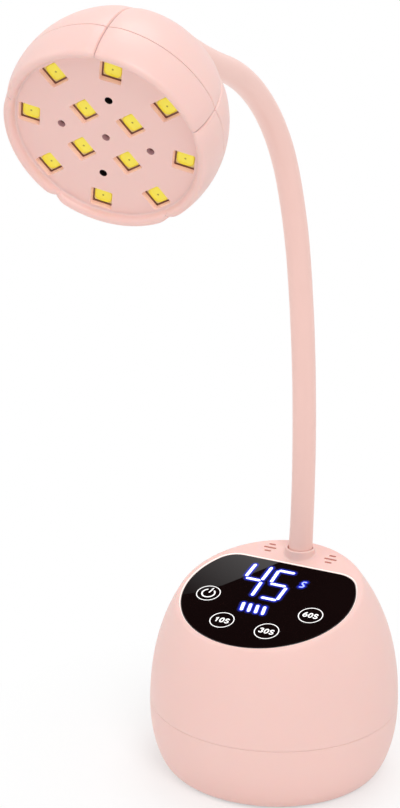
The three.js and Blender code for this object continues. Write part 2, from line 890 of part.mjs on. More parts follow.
function hexNut(high) {
  const across = nutAcrossFlats / 2 / Math.cos(Math.PI / 6);
  const blank = rod(across, high - nutHeight, high, 6);
  const bore = rod(ferruleRadius + seatGap, high - nutHeight - overrun, high + overrun, fineFacets);
  return solid(blank).subtract(solid(bore));
}

function addNeckFixing(parent) {
  const tail = collarFloor + seatGap + nutHeight + ferruleTail + seatGap;
  const lower = piece(parent, 'neck_ferrule_lower', ferrule(tail), brass);
  lower.position.set(0, neckFootY, socketFloor + seatGap);
  const nut = piece(parent, 'neck_nut_lower', hexNut(0), brass);
  nut.position.set(0, neckFootY, collarBottom - seatGap);
}

// Head: its own frame has the front of the lamp plate at zero and faces +Z

const poleBehind = headWidestBehind + headHalfDepth;
const headSocketFloor = poleBehind + headCollarHeight - collarSocketDepth;
const headNeckEnd = headSocketFloor + seatGap + flangeThickness + seatGap;

function headOuter(z) {
  const rise = (z + headWidestBehind) / headHalfDepth;
  return headRadius * Math.sqrt(Math.max(0, 1 - rise * rise));
}

function petalColumn(column) {
  const within = column % petalColumns;
  const petal = (column - within) / petalColumns;
  const edge = grooveWidth / 2 / headRadius;
  const span = 2 * Math.PI / petals - 2 * edge;
  const offset = within === 0 ? 0 : edge + span * (within - 1) / (petalColumns - 2);
  const isCorner = within === 1 || within === petalColumns - 1;
  return {
    angle: radians(petalPhaseAngle) + petal * 2 * Math.PI / petals + offset,
    isGroove: within === 0,
    notch: headRimNotch * (within === 0 ? 1 : isCorner ? petalCornerShare : 0),
  };
}

function petalled(points, reach) {
  const geometry = revolve(points, headFacets);
  const place = geometry.getAttribute('position');
  for (let i = 0; i < place.count; i++) {
    const { x: radius, y: z } = points[i % points.length];
    const column = Math.floor(i / points.length) % headFacets;
    const { angle, isGroove, notch } = petalColumn(column);
    const isOuter = radius > headOuter(z) - reach;
    const fade = THREE.MathUtils.clamp((radius - headCollarRadius) / headCollarRadius, 0, 1);
    const r = radius - (isGroove && isOuter ? grooveDepth * fade : 0);
    const drop = notch * THREE.MathUtils.clamp(z / headRimFront, 0, 1);
    place.setXYZ(i, r * Math.cos(angle), r * Math.sin(angle), z - drop);
  }
  return geometry;
}

function headDome(inset, steps) {
  const points = [];
  for (let i = 0; i <= steps; i++) {
    const turn = Math.PI / 2 * i / steps;
    const r = i === steps ? 0 : (headRadius - inset) * Math.cos(turn);
    points.push(point(r, -headWidestBehind - (headHalfDepth - inset) * Math.sin(turn)));
  }
  return points;
}

function headBowl() {
  const front = -headSeamBehind - seatGap / 2;
  const outer = petalled([
    point(0, front),
    point(headOuter(front) - seamChamfer, front),
    point(headOuter(front - seamChamfer), front - seamChamfer),
    ...headDome(0, 10).slice(1),
  ], headWall / 2);
  const inner = revolve([
    point(0, 0),
    point(headRadius - headWall, 0),
    ...headDome(headWall, 7),
  ], headInnerFacets);
  return solid(outer).subtract(solid(inner));
}

function headCollar() {
  const inside = -headSocketFloor + collarFloor;
  const outside = -poleBehind - headCollarHeight;
  return solid(revolve([
    point(0, inside),
    point(headCollarRadius, inside),
    ...arcPoints(headCollarRadius - collarFillet, outside + collarFillet, collarFillet, 0, -90, 3),
    point(0, outside),
  ], smallFacets));
}

function headBackShell() {
  let body = headBowl().add(headCollar());
  const limit = solid(revolve([point(0, 0), ...headDome(headWall / 2, 7)], headInnerFacets));
  for (const side of [-1, 1]) {
    const post = rod(headPostRadius, -poleBehind, -headPostFront, fineFacets)
      .translate(0, side * plateHoleCircle, 0);
    body = body.add(solid(post).intersect(limit));
  }
  for (const side of [-1, 1]) {
    const deep = headPostFront + plateScrewLength + overrun;
    const bore = rod(plateScrewRadius + seatGap, -deep, 0, fineFacets);
    body = body.subtract(solid(bore.translate(0, side * plateHoleCircle, 0)));
  }
  const top = -poleBehind - headCollarHeight - overrun;
  body = body.subtract(solid(rod(socketRadius, top, -headSocketFloor)));
  return body.subtract(solid(rod(ferruleHole, top, -headSocketFloor + collarFloor + overrun)));
}

const rimCrest = headOuter(headRimFront - headRimRound) - headRimRound;
const plateHole = rimCrest - lipSetback;
const plateRadius = plateHole - seatGap;
const ledgeHole = plateHole - plateLedge;
const ledBoardRadius = ledgeHole - ledBoardSideGap;
const ledCircle = plateRadius - ledEdgeRoom;
const plateHoleCircle = plateRadius - plateHoleInset;
const ledgeTop = plateThickness + seatGap;
const ledBoardFront = ledRecess + ledHeight + seatGap;
const ledBoardBack = ledBoardFront + boardThickness;
const headPostFront = ledBoardBack + seatGap;

function headFrontRing() {
  const back = -headSeamBehind + seatGap / 2;
  const tongueOuter = headRadius - headWall - tongueClearance;
  const outer = [];
  const steps = 3;
  for (let i = 1; i <= steps; i++) {
    const z = THREE.MathUtils.lerp(back + seamChamfer, headRimFront - headRimRound, i / steps);
    outer.push(point(headOuter(z), z));
  }
  const profile = [
    point(headOuter(back) - seamChamfer, back),
    point(headOuter(back + seamChamfer), back + seamChamfer),
    ...outer,
    ...arcPoints(rimCrest, headRimFront - headRimRound, headRimRound, headRimCurlAngle, 180, 4),
    point(plateHole, 0),
    point(plateHole, -ledgeTop),
    point(ledgeHole, -ledgeTop),
    point(ledgeHole, -ledgeTop - ledgeThickness),
    point(tongueOuter - tongueWall, -ledgeTop - ledgeThickness - headWall),
    point(tongueOuter - tongueWall, -headSeamBehind - headTongue),
    point(tongueOuter, -headSeamBehind - headTongue),
    point(tongueOuter, back),
    point(headOuter(back) - seamChamfer, back),
  ];
  return petalled(profile, headRimRound);
}

function ledPlaces() {
  const places = [];
  for (let i = 0; i < outerLamps; i++) {
    places.push([`led_outer_${i + 1}`, ledCircle, 360 / outerLamps * i]);
  }
  for (let i = 0; i < innerLamps; i++) {
    places.push([`led_inner_${i + 1}`, ledInnerCircle, innerLampAngle + 360 / innerLamps * i]);
  }
  return places;
}

function windowFunnel() {
  const low = ledWindow / 2;
  const high = low + ledWindowFlare * (ledRecess + overrun) / ledRecess;
  return new THREE.CylinderGeometry(high * Math.SQRT2, low * Math.SQRT2, ledRecess + overrun, 4)
    .rotateY(Math.PI / 4).rotateX(Math.PI / 2).translate(0, 0, (overrun - ledRecess) / 2);
}

function lampPlate() {
  const edge = seamChamfer;
  let body = solid(revolve([
    point(0, -plateThickness), point(plateRadius, -plateThickness),
    point(plateRadius, -edge), point(plateRadius - edge, 0), point(0, 0),
  ], headFacets));
  for (const [, radius, angle] of ledPlaces()) {
    const throat = box(ledWindow, ledWindow, -plateThickness - overrun, 0);
    for (const cut of [throat, windowFunnel()]) {
      body = body.subtract(solid(cut.translate(radius, 0, 0).rotateZ(radians(angle))));
    }
  }
  const holes = [[0, 0], ...plateHoleAngles.map((angle) => onCircle(plateHoleCircle, angle))];
  for (const [x, y] of holes) {
    const cut = rod(plateHoleRadius, -plateThickness - overrun, overrun, fineFacets)
      .translate(x, y, 0);
    body = body.subtract(solid(cut));
  }
  return body;
}

function ledBoard() {
  let body = solid(rod(ledBoardRadius, -ledBoardBack, -ledBoardFront, innerFacets));
  for (const side of [-1, 1]) {
    const cut = rod(plateScrewRadius + seatGap, -ledBoardBack - overrun, 0, fineFacets)
      .translate(0, side * plateHoleCircle, 0);
    body = body.subtract(solid(cut));
  }
  return body;
}

function ledChip() {
  const half = ledWidth / 2 - ledBevel;
  const outline = new THREE.Shape([
    point(-half, -half), point(half, -half), point(half, half), point(-half, half),
  ]);
  const chip = new THREE.ExtrudeGeometry(outline, {
    depth: ledHeight - 2 * ledBevel, bevelThickness: ledBevel, bevelSize: ledBevel, bevelSegments: 1,
  });
  return chip.translate(0, 0, -ledRecess - ledHeight + ledBevel);
}

function addHead(parent) {
  const end = neckStation(neckLength);
  const right = new THREE.Vector3(1, 0, 0);
  right.addScaledVector(end.heading, -right.dot(end.heading)).normalize();
  const up = new THREE.Vector3().crossVectors(end.heading, right);
  const head = new THREE.Group();
  const basis = new THREE.Matrix4().makeBasis(right, up, end.heading);
  head.setRotationFromMatrix(basis);
  head.rotateZ(radians(patternTurn));
  head.position.copy(end.place).addScaledVector(end.heading, headNeckEnd);
  parent.add(head);

  piece(head, 'head_back_shell', headBackShell(), pink);
  piece(head, 'head_front_ring', headFrontRing(), pink);
  piece(head, 'lamp_plate', lampPlate(), pink);
  piece(head, 'led_board', ledBoard(), boardWhite);
  for (const [name, radius, angle] of ledPlaces()) {
    const chip = ledChip().translate(radius, 0, 0).rotateZ(radians(angle));
    piece(head, name, chip, yellow);
  }
  const screwNames = ['plate_screw_lower', 'plate_screw_upper'];
  screwNames.forEach((name, i) => {
    const body = screw(
      plateScrewRadius, plateScrewLength, plateScrewHeadRadius, plateScrewHeadHeight,
      plateScrewRadius / 2,
    );
    const mesh = piece(head, name, body, steel);
    mesh.rotateX(Math.PI);
    mesh.position.set(0, (2 * i - 1) * plateHoleCircle, -ledBoardFront + seatGap + plateScrewHeadHeight);
  });

  const tail = collarFloor + seatGap + nutHeight + ferruleTail + seatGap;
  const upper = piece(head, 'neck_ferrule_upper', ferrule(tail), brass);
  upper.rotateX(Math.PI);
  upper.position.set(0, 0, -headSocketFloor - seatGap);
  const nut = piece(head, 'neck_nut_upper', hexNut(0), brass);
  nut.rotateX(Math.PI);
  nut.position.set(0, 0, -headSocketFloor + collarFloor + seatGap);
}

const lamp = new THREE.Group();
piece(lamp, 'base_upper_shell', upperShell(), pink);
piece(lamp, 'base_lower_cover', lowerCover(), pink);
piece(lamp, 'foot_pad', footPad(), grey);
piece(lamp, 'counterweight', counterweight(), steel);
addBaseScrews(lamp);
addElectrics(lamp);
addDisplay(lamp);
addNeckFixing(lamp);
addNeck(lamp);
addHead(lamp);

export default lamp;
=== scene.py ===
import math

import bpy
import numpy as np
from mathutils import Matrix, Vector
from mathutils.geometry import tessellate_polygon


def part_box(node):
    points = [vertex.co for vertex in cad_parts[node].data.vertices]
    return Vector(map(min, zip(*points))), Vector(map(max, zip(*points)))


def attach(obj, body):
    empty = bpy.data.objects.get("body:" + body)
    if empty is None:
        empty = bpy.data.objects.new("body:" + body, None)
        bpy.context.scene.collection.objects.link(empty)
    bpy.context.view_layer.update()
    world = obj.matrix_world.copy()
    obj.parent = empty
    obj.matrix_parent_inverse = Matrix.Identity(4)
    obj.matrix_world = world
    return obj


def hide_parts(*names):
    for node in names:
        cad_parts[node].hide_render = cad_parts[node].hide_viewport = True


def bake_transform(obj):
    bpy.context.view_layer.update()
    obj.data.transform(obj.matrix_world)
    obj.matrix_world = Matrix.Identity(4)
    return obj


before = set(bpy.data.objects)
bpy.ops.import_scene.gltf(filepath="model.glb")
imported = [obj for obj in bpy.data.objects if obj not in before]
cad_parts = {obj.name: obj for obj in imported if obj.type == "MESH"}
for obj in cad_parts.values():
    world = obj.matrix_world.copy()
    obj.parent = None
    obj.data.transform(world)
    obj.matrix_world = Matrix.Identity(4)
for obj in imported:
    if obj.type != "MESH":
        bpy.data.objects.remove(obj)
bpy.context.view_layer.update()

# Lengths are in millimetres and angles in degrees until new_piece turns them into metres.
MM = 0.001

# Base casing
WALL = 2.2
SEAT_GAP = 0.3
BASE_RADIUS = 45
BELLY_HEIGHT = 24.5
FOOT_RADIUS = 37.4
FOOT_PROUD = 0.6
CORNER_REACH = 3.05
LOWER_BULGE = 13.4
UPPER_BULGE = 29.9
CROWN_RADIUS = 18.2
CROWN_HEIGHT = 85.3
CROWN_REACH = 21.55
CROWN_ANGLE = 41.7
SEAM_HEIGHT = 25.4
SEAM_GAP = 0.03
SEAM_ROUND = 0.18
TONGUE_HEIGHT = 2.2
TONGUE_WALL = 1.2
TONGUE_CLEARANCE = 0.6
TOP_HEIGHT = 69.1
TOP_TILT = 14
TOP_WALL = 3.8
RIM_FILLET = 1.1
PAD_RADIUS = 35
PAD_THICKNESS = 1.4
COVER_FLOOR = PAD_THICKNESS + SEAT_GAP + WALL
INLET_WIDTH = 9.64
INLET_HEIGHT = 3.96
INLET_EDGE = 0.5
INLET_REACH = 0.8
CENTRE_HOLE = 0.5
SHELL_COLUMNS = 288
FOOT_COLUMNS = 160
HALVINGS = 40

# Display window and what shows through it, in the slanted top
WINDOW_HALF_WIDTH = 31.3
WINDOW_HALF_DEPTH = 31
WINDOW_CENTRE = -7.1
WINDOW_CHORD = 13.1
WINDOW_CORNER_RUN = 5
WINDOW_CORNER_TURN = 9
WINDOW_THICKNESS = 1.6
WINDOW_SINK = 0.12
WINDOW_BEVEL = 0.28
WINDOW_LEDGE = 2.1
POCKET_GAP = 0.08
POCKET_ROUND = 0.45
OPENING_ROUND = 0.1
PRINT_THICKNESS = 0.04
PRINT_LEVEL = -WINDOW_SINK - PRINT_THICKNESS * 0.4
GLOW_STEPS = [(0.45, 0.1), (1.2, 0.2), (2.2, 0.3)]
TOP_RINGS = 12
TOP_MIDDLE = 0.05
KEY_PLACES = {"power": (-20.9, -12.9), "10s": (-9, -25.9), "30s": (8.7, -26.7), "60s": (19.4, -13.3)}
KEY_RING_RADIUS = 4.27
KEY_LINE = 0.32
POWER_RADIUS = KEY_RING_RADIUS * 0.55
POWER_LINE = KEY_LINE * 1.6
DIGIT_LINE = 1.12
BAR_LINE = 1.1
BAR_PITCH = 2.75
SIGN_LINE = 0.5
FIGURE_WIDTH = 1.25
FIGURE_HEIGHT = 2.3
FIGURE_STEP = 1.95
FIGURE_LINE = 0.5
VENT_X = 12.1
VENT_Y = 20.3
VENT_PITCH = 2.1
VENT_WIDTH = 0.8
VENT_LONG = 4.9
VENT_SHORT = 2.7
VENT_DEPTH = 2.4
VENT_ROUND = 0.06

# Neck: stretches of length, bend and turn to the side, from the base to the head
NECK_RADIUS = 4.22
NECK_FOOT_Y = 19.7
NECK_START = 72.458
NECK_START_LEAN = -4.5
NECK_JOINTS = 12
NECK_FIRST_JOINT = 13
NECK_LAST_JOINT_FROM_END = 17.3
NECK_SUNK = 3.2
NECK_BORE = 3.3
NECK_STRETCHES = [(30, 4.6, 0), (81, 12, 0), (34.8, 12.2, 0), (67.7, 49.6, 0), (30.3, -8, 0.4), (16, 52, 4.3),
                  (1.8, 0, 0)]
NECK_LINE_STEPS = 48
NECK_RING_STEP = 1.1
NECK_COLUMNS = 56
NECK_RIPPLES = [(0.012, 6.1), (0.008, 2.7)]
NECK_FLARE = 0.12
NECK_FLARE_LENGTH = 7
COLLAR_RADIUS = 5.4
COLLAR_PROUD = 1.1
COLLAR_ROUND = 0.45
COLLAR_FOOT = 0.7
COLLAR_BORE = 4.62
COLLAR_DEPTH = 5
COLLAR_LIP = 0.15
COLLAR_HOLE = 5.5
COLLAR_SKIN = 0.02
COLLAR_COLUMNS = 120
SOCKET_COLUMNS = 64

# Head, in a frame with the front of the lamp plate at zero and +Z out of the lamps
HEAD_RADIUS = 31.71
HEAD_HALF_DEPTH = 31.51
HEAD_WIDEST_BEHIND = 8.1
HEAD_SEAM_BEHIND = 8.6
HEAD_SEAM_GAP = 0.09
HEAD_RIM_FRONT = 2.5
RIM_ACROSS = 1.5
RIM_ALONG = 2.1
RIM_JOIN_TURN = 21.5
COVE_TURN = 165
COVE_FOOT = 26.75
COVE_SKIN = 0.02
HEAD_WALL = 2.2
HEAD_COLLAR_RADIUS = 5.5
HEAD_COLLAR_BORE = 4.45
HEAD_COLLAR_HEIGHT = 2.6
HEAD_COLLAR_ROUND = 0.6
PETALS = 5
PETAL_PHASE = 26.9
PETAL_STEPS = [0, 0.25, 0.5, 0.8, 1.15, 1.6, 2.2, 3, 4, 5.2, 6.7, 8.5, 10.6, 13, 15.6, 18.4, 21.3, 24.2, 27.1,
               30, 33, 36]
GROOVE_DEPTH = 0.62
GROOVE_HALF_WIDTH = 0.42
PETAL_CURL = 0.4
PETAL_CURL_REACH = 2.4
RIM_NOTCH = 0.9
RIM_NOTCH_REACH = 1.7
RIM_NOTCH_FROM = -3
PLATE_RADIUS = 28
PLATE_THICKNESS = 1.8
PLATE_GAP = 0.05
PLATE_EDGE = 0.12
PLATE_GUARD = 0.05
PLATE_COLUMNS = 220
LEDGE_WIDTH = 1.5
LEDGE_THICKNESS = 1.8
LED_CIRCLE = 23.05
LED_INNER_CIRCLE = 9.7
LED_SIZE = 5.5
LED_BODY = 1.1
LED_RECESS = 1.5
LED_DOME = 0.35
LED_CENTRE_DEPTH = 2.25
LED_DOME_SIZE = 5.2
LED_DOME_CORNER = 1.7
LED_DOME_TOP = 0.8
LED_DOME_RISE = 0.8
LED_BEVEL = 0.1
LED_CORNER = 0.4
DIE_RADIUS = 0.3
DIE_LEVELS = (0.6, 0.84)
LED_WINDOW = 6.1
LED_WINDOW_CORNER = 0.35
LED_WINDOW_FLARE = 0.15
HOLE_LIP = 0.12
PLATE_HOLE_RADIUS = 1.15
PLATE_HOLE_CIRCLE = 13.3
# Material slots of the plate holes' walls: 4 is painted shade with a faint painted glow, 3 is near black
# painted shade
HOLE_SHADE_SLOTS = [4, 4, 3, 4, 3]
CUT_OVERRUN = 1
LIP_TURN = 72
LIP_STEP = 0.06
LIP_TURNS = (22, 45, 68, 90)

# Finishes: scales of the noises in features per metre, heights of the bumps in metres
DRIFT_SCALE = 14
GLOSS_SPREAD = 0.05
GRAIN_HEIGHT = 0.00004
BRUSH_SCALE = 900
BRUSH_SHADE = 0.85
BRUSH_BUMP = 0.15
BRUSH_HEIGHT = 0.00003
INK_SCALE = 260
SHARP = 32
HEAD_SHARP = 38
CARRIED_SHARP = 30

# Camera, found from the outline of the base and the places of the lamps in the photograph
IMAGE_HEIGHT = 808
FOCAL_PIXELS = 2049.82
SENSOR = 36
CAMERA_PLACE = (287.63, -617.04, 349.84)
CAMERA_AZIMUTH = 27.36
CAMERA_ELEVATION = 17.44
CAMERA_ROLL = 0.69
CAMERA_CLIP = (0.01, 20)

# Stage: lamps as (name, place, aim, width, watts, colour) in metres
WORLD_LEVEL = 0.63
LAMPS = [
    ("key_light", (0.9, -1.0, 1.5), (0, 0, 0.14), 0.9, 11.8, (1, 1, 1)),
    ("left_light", (-1.2, -0.7, 0.9), (0, 0, 0.14), 1.0, 3.7, (1, 1, 1)),
    ("top_light", (0.0, 0.5, 1.7), (0, 0, 0.14), 0.9, 5.4, (0.94, 0.975, 1.0)),
]
FLOOR_COLOUR = (0.92, 0.915, 0.91)
FLOOR_FADE = (0.048, 0.12)
FLOOR_WHITE = 0.5
FLOOR_DROP = 0.00005
FLOOR_HALF = 6
WHITE = (1, 1, 1, 1)
WEDGE_EDGE = [(-40.9, -22.2), (-28.9, -16.2), (-25.3, -13.9), (-18.4, -6.9), (-12.8, 1.1), (-8.9, 6.8),
              (-5.1, 12.8), (-1.5, 18.8)]
CARD_REACH = 60
CARD_GROWTH = 0.4
CARD_DISTANCE = 1.002
SHEEN_FROM, SHEEN_TO = (-29, -14), (-14, 14)
SHEEN_LEVELS = (0.12, 0.95)


def unit(degrees):
    return math.cos(math.radians(degrees)), math.sin(math.radians(degrees))


def smooth_share(share):
    share = np.clip(share, 0, 1)
    return share * share * (3 - 2 * share)


def curve_at(start, corner, end, share):
    """A place on the curve that leaves start towards the corner and comes from there to the end."""
    return (1 - share)**2 * start + 2 * share * (1 - share) * corner + share**2 * end


def rounding(size, turns):
    """Steps round a quarter circle, as the distances back from its two outer sides."""
    return [(size * (1 - across), size * (1 - rise)) for across, rise in map(unit, turns)]


def full_turn(count):
    return np.arange(count) * 2 * math.pi / count


# Meshes

def new_piece(name, points, faces, materials, place=None, sharp=SHARP, face_materials=None):
    points = np.asarray(points, float).reshape(-1, 3) * MM
    mesh = bpy.data.meshes.new(name)
    mesh.from_pydata(points.tolist(), [], faces)
    if place is not None:
        mesh.transform(place)
    if volume_of(mesh) < 0:
        mesh.flip_normals()
    for material in materials:
        mesh.materials.append(material)
    if face_materials is not None:
        mesh.polygons.foreach_set("material_index", face_materials)
    shade(mesh, sharp)
    return linked(name, mesh)


def linked(name, data):
    thing = bpy.data.objects.new(name, data)
    bpy.context.scene.collection.objects.link(thing)
    return thing


def volume_of(mesh):
    mesh.calc_loop_triangles()
    points = np.array([v.co for v in mesh.vertices])
    a, b, c = points[np.array([t.vertices[:] for t in mesh.loop_triangles]).T]
    return float((a * np.cross(b, c)).sum())


def shade(mesh, sharp):
    mesh.shade_smooth()
    mesh.set_sharp_from_angle(angle=math.radians(sharp))


def band(first, second, count):
    around = [(i, (i + 1) % count) for i in range(count)]
    return [(first + i, first + j, second + j, second + i) for i, j in around]


def loft(rings, closed_loop=False):
    """Points and faces of rings of equal count, capped at both ends or joined back to the first."""
    count, faces = len(rings[0]), []
    last = (len(rings) - 1) * count
    for start in range(0, last, count):
        faces += band(start, start + count, count)
    if closed_loop:
        faces += band(last, 0, count)
    else:
        faces += [tuple(reversed(range(count))), tuple(range(last, last + count))]
    return np.concatenate(rings), faces


def joined(parts):
    """Several lofts as one, with the number of its loft for each face."""
    points, faces, sources = [], [], []
    for number, (part_points, part_faces) in enumerate(parts):
        faces += [tuple(i + len(points) for i in face) for face in part_faces]
        points += part_points.tolist()
        sources += [number] * len(part_faces)
    return points, faces, sources


def level_ring(corners, z):
    return np.column_stack([corners, np.full(len(corners), z)])


def round_ring(angles, r, z, y=0.0):
    """A ring round the upright line at y. Its radius and height may vary with the angle."""
    return np.stack([r * np.cos(angles), y + r * np.sin(angles), z + 0 * angles], 1)


def turned(profile, columns, closed_loop=False):
    angles = full_turn(columns)
    return loft([round_ring(angles, r, z) for r, z in profile], closed_loop)


def arc(centre, radius, start, end, steps):
    turns = np.radians(np.linspace(start, end, steps + 1))
    return [(centre[0] + radius * math.cos(t), centre[1] + radius * math.sin(t)) for t in turns]


def finished(piece, body, nodes=()):
    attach(piece, body)
    if nodes:
        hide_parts(*nodes)


def cut(piece, cutters):
    """Takes the cutters out of the piece for good. Cut faces keep the cutters' materials."""
    for cutter in cutters:
        modifier = piece.modifiers.new("cut", "BOOLEAN")
        modifier.operation = "DIFFERENCE"
        modifier.solver = "EXACT"
        modifier.material_mode = "TRANSFER"
        modifier.object = cutter
    graph = bpy.context.evaluated_depsgraph_get()
    mesh = bpy.data.meshes.new_from_object(piece.evaluated_get(graph))
    piece.modifiers.clear()
    old = piece.data
    piece.data = mesh
    bpy.data.meshes.remove(old)
    for cutter in cutters:
        bpy.data.objects.remove(cutter)
    mesh.name = piece.name
    shade(mesh, SHARP)
    crisp_borders(mesh)


def crisp_borders(mesh):
    """Makes the edges where the material changes sharp, so that flat faces beside a lip are shaded evenly."""
    material_of, borders = {}, set()
    for face in mesh.polygons:
        name = mesh.materials[face.material_index].name
        for key in face.edge_keys:
            if material_of.setdefault(key, name) != name:
                borders.add(key)
    for edge in mesh.edges:
        if edge.key in borders:
            edge.use_edge_sharp = True


def flared(outline, low, round_by):
    """Rings of a cutter whose top edge opens in a rounded lip that crosses the face at a slant."""
    rings = [(outline(0), low)]
    rings += [(outline(out), -down) for out, down in rounding(round_by, np.linspace(0, LIP_TURN, 5))]
    across, rise = unit(LIP_TURN)
    widest = outline(round_by * (1 - across) + LIP_STEP * rise / across)
    rings += [(widest, LIP_STEP), (widest, CUT_OVERRUN)]
    return [level_ring(corners, z) for corners, z in rings]


# Materials

def node_material(name):
    material = bpy.data.materials.new(name)
    material.use_nodes = True
    tree = material.node_tree
    return material, tree, tree.nodes["Principled BSDF"]


def set_inputs(node, **values):
    for key, value in values.items():
        node.inputs[key.replace("_", " ")].default_value = value


def add_node(tree, kind, operation=None, **values):
    node = tree.nodes.new("ShaderNode" + kind)
    if operation:
        node.operation = operation
    set_inputs(node, **values)
    return node


def wire(source, output, target, into):
    source.id_data.links.new(source.outputs[output], target.inputs[into])


def add_noise(tree, scale, detail, roughness=0.5):
    noise = add_node(tree, "TexNoise", Scale=scale, Detail=detail, Roughness=roughness)
    wire(add_node(tree, "TexCoord"), "Object", noise, "Vector")
    return noise


def add_ramp(noise, *stops):
    """Colours for the noise, from the first stop to the second."""
    ramp = add_node(noise.id_data, "ValToRGB")
    for element, (place, colour) in zip(ramp.color_ramp.elements, stops):
        element.position = place
        element.color = (*colour, 1)
    wire(noise, "Fac", ramp, "Fac")
    return ramp


def add_bump(shader, noise, strength, distance):
    bump = add_node(noise.id_data, "Bump", Strength=strength, Distance=distance)
    wire(noise, "Fac", bump, "Height")
    wire(bump, "Normal", shader, "Normal")


def rgb(red, green, blue):
    """A colour given as it shows on screen, from 0 to 255, as the linear values that shaders use."""
    shares = [value / 255 for value in (red, green, blue)]
    return tuple(s / 12.92 if s <= 0.04045 else ((s + 0.055) / 1.055) ** 2.4 for s in shares)


def glowing(red, green, blue, strength):
    return {"Emission_Color": (*rgb(red, green, blue), 1), "Emission_Strength": strength}


def moulded(name, colour, shift, roughness, grain_scale=1500.0, grain=0.1, **values):
    """Moulded plastic: a slow drift of colour, a fine grain in the gloss and a fine bump."""
    material, tree, shader = node_material(name)
    low, high = [tuple(min(1.0, c * (1 + change)) for c in rgb(*colour)) for change in (-shift, shift)]
    ramp = add_ramp(add_noise(tree, DRIFT_SCALE, 2.0), (0.3, low), (0.7, high))
    wire(ramp, "Color", shader, "Base Color")
    noise = add_noise(tree, grain_scale, 4.0, 0.6)
    spread = add_node(tree, "MapRange", To_Min=roughness - GLOSS_SPREAD, To_Max=roughness + GLOSS_SPREAD)
    wire(noise, "Fac", spread, "Value")
    wire(spread, "Result", shader, "Roughness")
    add_bump(shader, noise, grain, GRAIN_HEIGHT)
    set_inputs(shader, **values)
    return material


def brushed(name, colour, roughness):
    material, tree, shader = node_material(name)
    noise = add_noise(tree, BRUSH_SCALE, 2.0)
    low = tuple(c * BRUSH_SHADE for c in rgb(*colour))
    wire(add_ramp(noise, (0.35, low), (0.65, rgb(*colour))), "Color", shader, "Base Color")
    set_inputs(shader, Metallic=1.0, Roughness=roughness)
    add_bump(shader, noise, BRUSH_BUMP, BRUSH_HEIGHT)
    return material


def lit(name, inner, outer, strength):
    """Lit ink: a soft mottle between two colours that gives off its own light."""
    material, tree, shader = node_material(name)
    ramp = add_ramp(add_noise(tree, INK_SCALE, 1.0), (0.3, rgb(*inner)), (0.75, rgb(*outer)))
    wire(ramp, "Color", shader, "Base Color")
    wire(ramp, "Color", shader, "Emission Color")
    set_inputs(shader, Emission_Strength=strength, Roughness=0.4)
    return material


PINK = moulded("pink_shell_plastic", (243, 203, 195), 0.012, 0.42, 1800, 0.12,
               Specular_IOR_Level=0.42, Subsurface_Weight=0.12, Subsurface_Scale=0.003)
HEAD_PINK = moulded("pink_head_plastic", (243, 202, 194), 0.012, 0.4, 1800,
                    Specular_IOR_Level=0.58, Subsurface_Weight=0.12, Subsurface_Scale=0.003)
PLATE_PINK = moulded("pink_plate_plastic", (245, 202, 194), 0.01, 0.3, grain=0.08,
                     Specular_IOR_Level=0.45, Subsurface_Weight=0.1, Subsurface_Scale=0.003)
SLEEVE = moulded("pink_silicone_sleeve", (245, 203, 193), 0.012, 0.33, 400, 0.03, Specular_IOR_Level=0.58)
# Painted shade: brown with a faint painted glow on the walls of the lamp windows, for the shade down in them
WELL_PAINTED_SHADE = moulded("lamp_well_painted_shade", (158, 100, 72), 0.05, 0.5, **glowing(150, 98, 62, 0.16))
# Painted glow: a light peach that gives off light, on the funnels at the top of the lamp windows
FUNNEL_PAINTED_GLOW = moulded("lamp_funnel_painted_glow", (248, 206, 196), 0.02, 0.4, **glowing(244, 196, 190, 0.1))
# Painted shade along the middle of the head's grooves
GROOVE_PAINTED_SHADE = moulded("head_groove_painted_shade", (208, 178, 173), 0.02, 0.6, 1800)
# Painted shade with a painted glow on the walls of the plate holes over the board
BOARD_HOLE_PAINTED_SHADE = moulded("plate_hole_painted_shade", (164, 128, 128), 0.03, 0.6, **glowing(138, 104, 106, 0.5))
# Painted shade: near black walls of the holes over the screws
SCREW_HOLE_PAINTED_SHADE = moulded("screw_hole_painted_shade", (24, 16, 14), 0.05, 0.6)
# Painted highlight: a near white line that gives off light, round the window's pocket
RIM_PAINTED_HIGHLIGHT = moulded("window_rim_painted_highlight", (255, 234, 228), 0.01, 0.25, 1800, 0.05,
                    **glowing(255, 236, 230, 0.4))
# Painted shade with a faint painted glow on the walls of the vents
VENT_PAINTED_SHADE = moulded("vent_painted_shade", (196, 140, 128), 0.04, 0.6, **glowing(176, 122, 114, 0.35))
GLASS = moulded("black_window_gloss", (20, 10, 10), 0.12, 0.06, 500, 0.02)
FOOT_RUBBER = moulded("foot_rubber_grey", (120, 112, 112), 0.04, 0.8, 1600, 0.5)
# The phosphor's yellow is its own; its faint glow is partly its fluorescence and partly painted light that
# lifts the shade of its recess
PHOSPHOR_AND_PAINTED_GLOW = moulded("lamp_phosphor_yellow_and_painted_glow", (248, 234, 58), 0.05, 0.3, 900, 0.3,
                   Coat_Weight=0.6, Coat_Roughness=0.08, **glowing(246, 230, 40, 0.1))
LED_CASE = moulded("lamp_case_cream", (246, 224, 150), 0.03, 0.45, 2000)
DIE = moulded("lamp_die_dot", (176, 158, 30), 0.03, 0.4, 2000)
DIGIT_LIGHT = lit("digit_light_white", (236, 240, 255), (250, 252, 255), 1.15)
SIGN_LIGHT = lit("unit_sign_light", (150, 164, 226), (176, 188, 238), 0.9)
GLOW = [lit("digit_glow_near", (44, 62, 208), (60, 80, 220), 0.9),
        lit("digit_glow_middle", (10, 18, 136), (14, 26, 158), 0.9),
        lit("digit_glow_far", (8, 10, 66), (10, 14, 84), 0.7)]
KEY_INK = lit("key_ink_white", (226, 224, 222), (240, 240, 240), 0.75)


# Base form: two curves up the side, cut by the slanted top

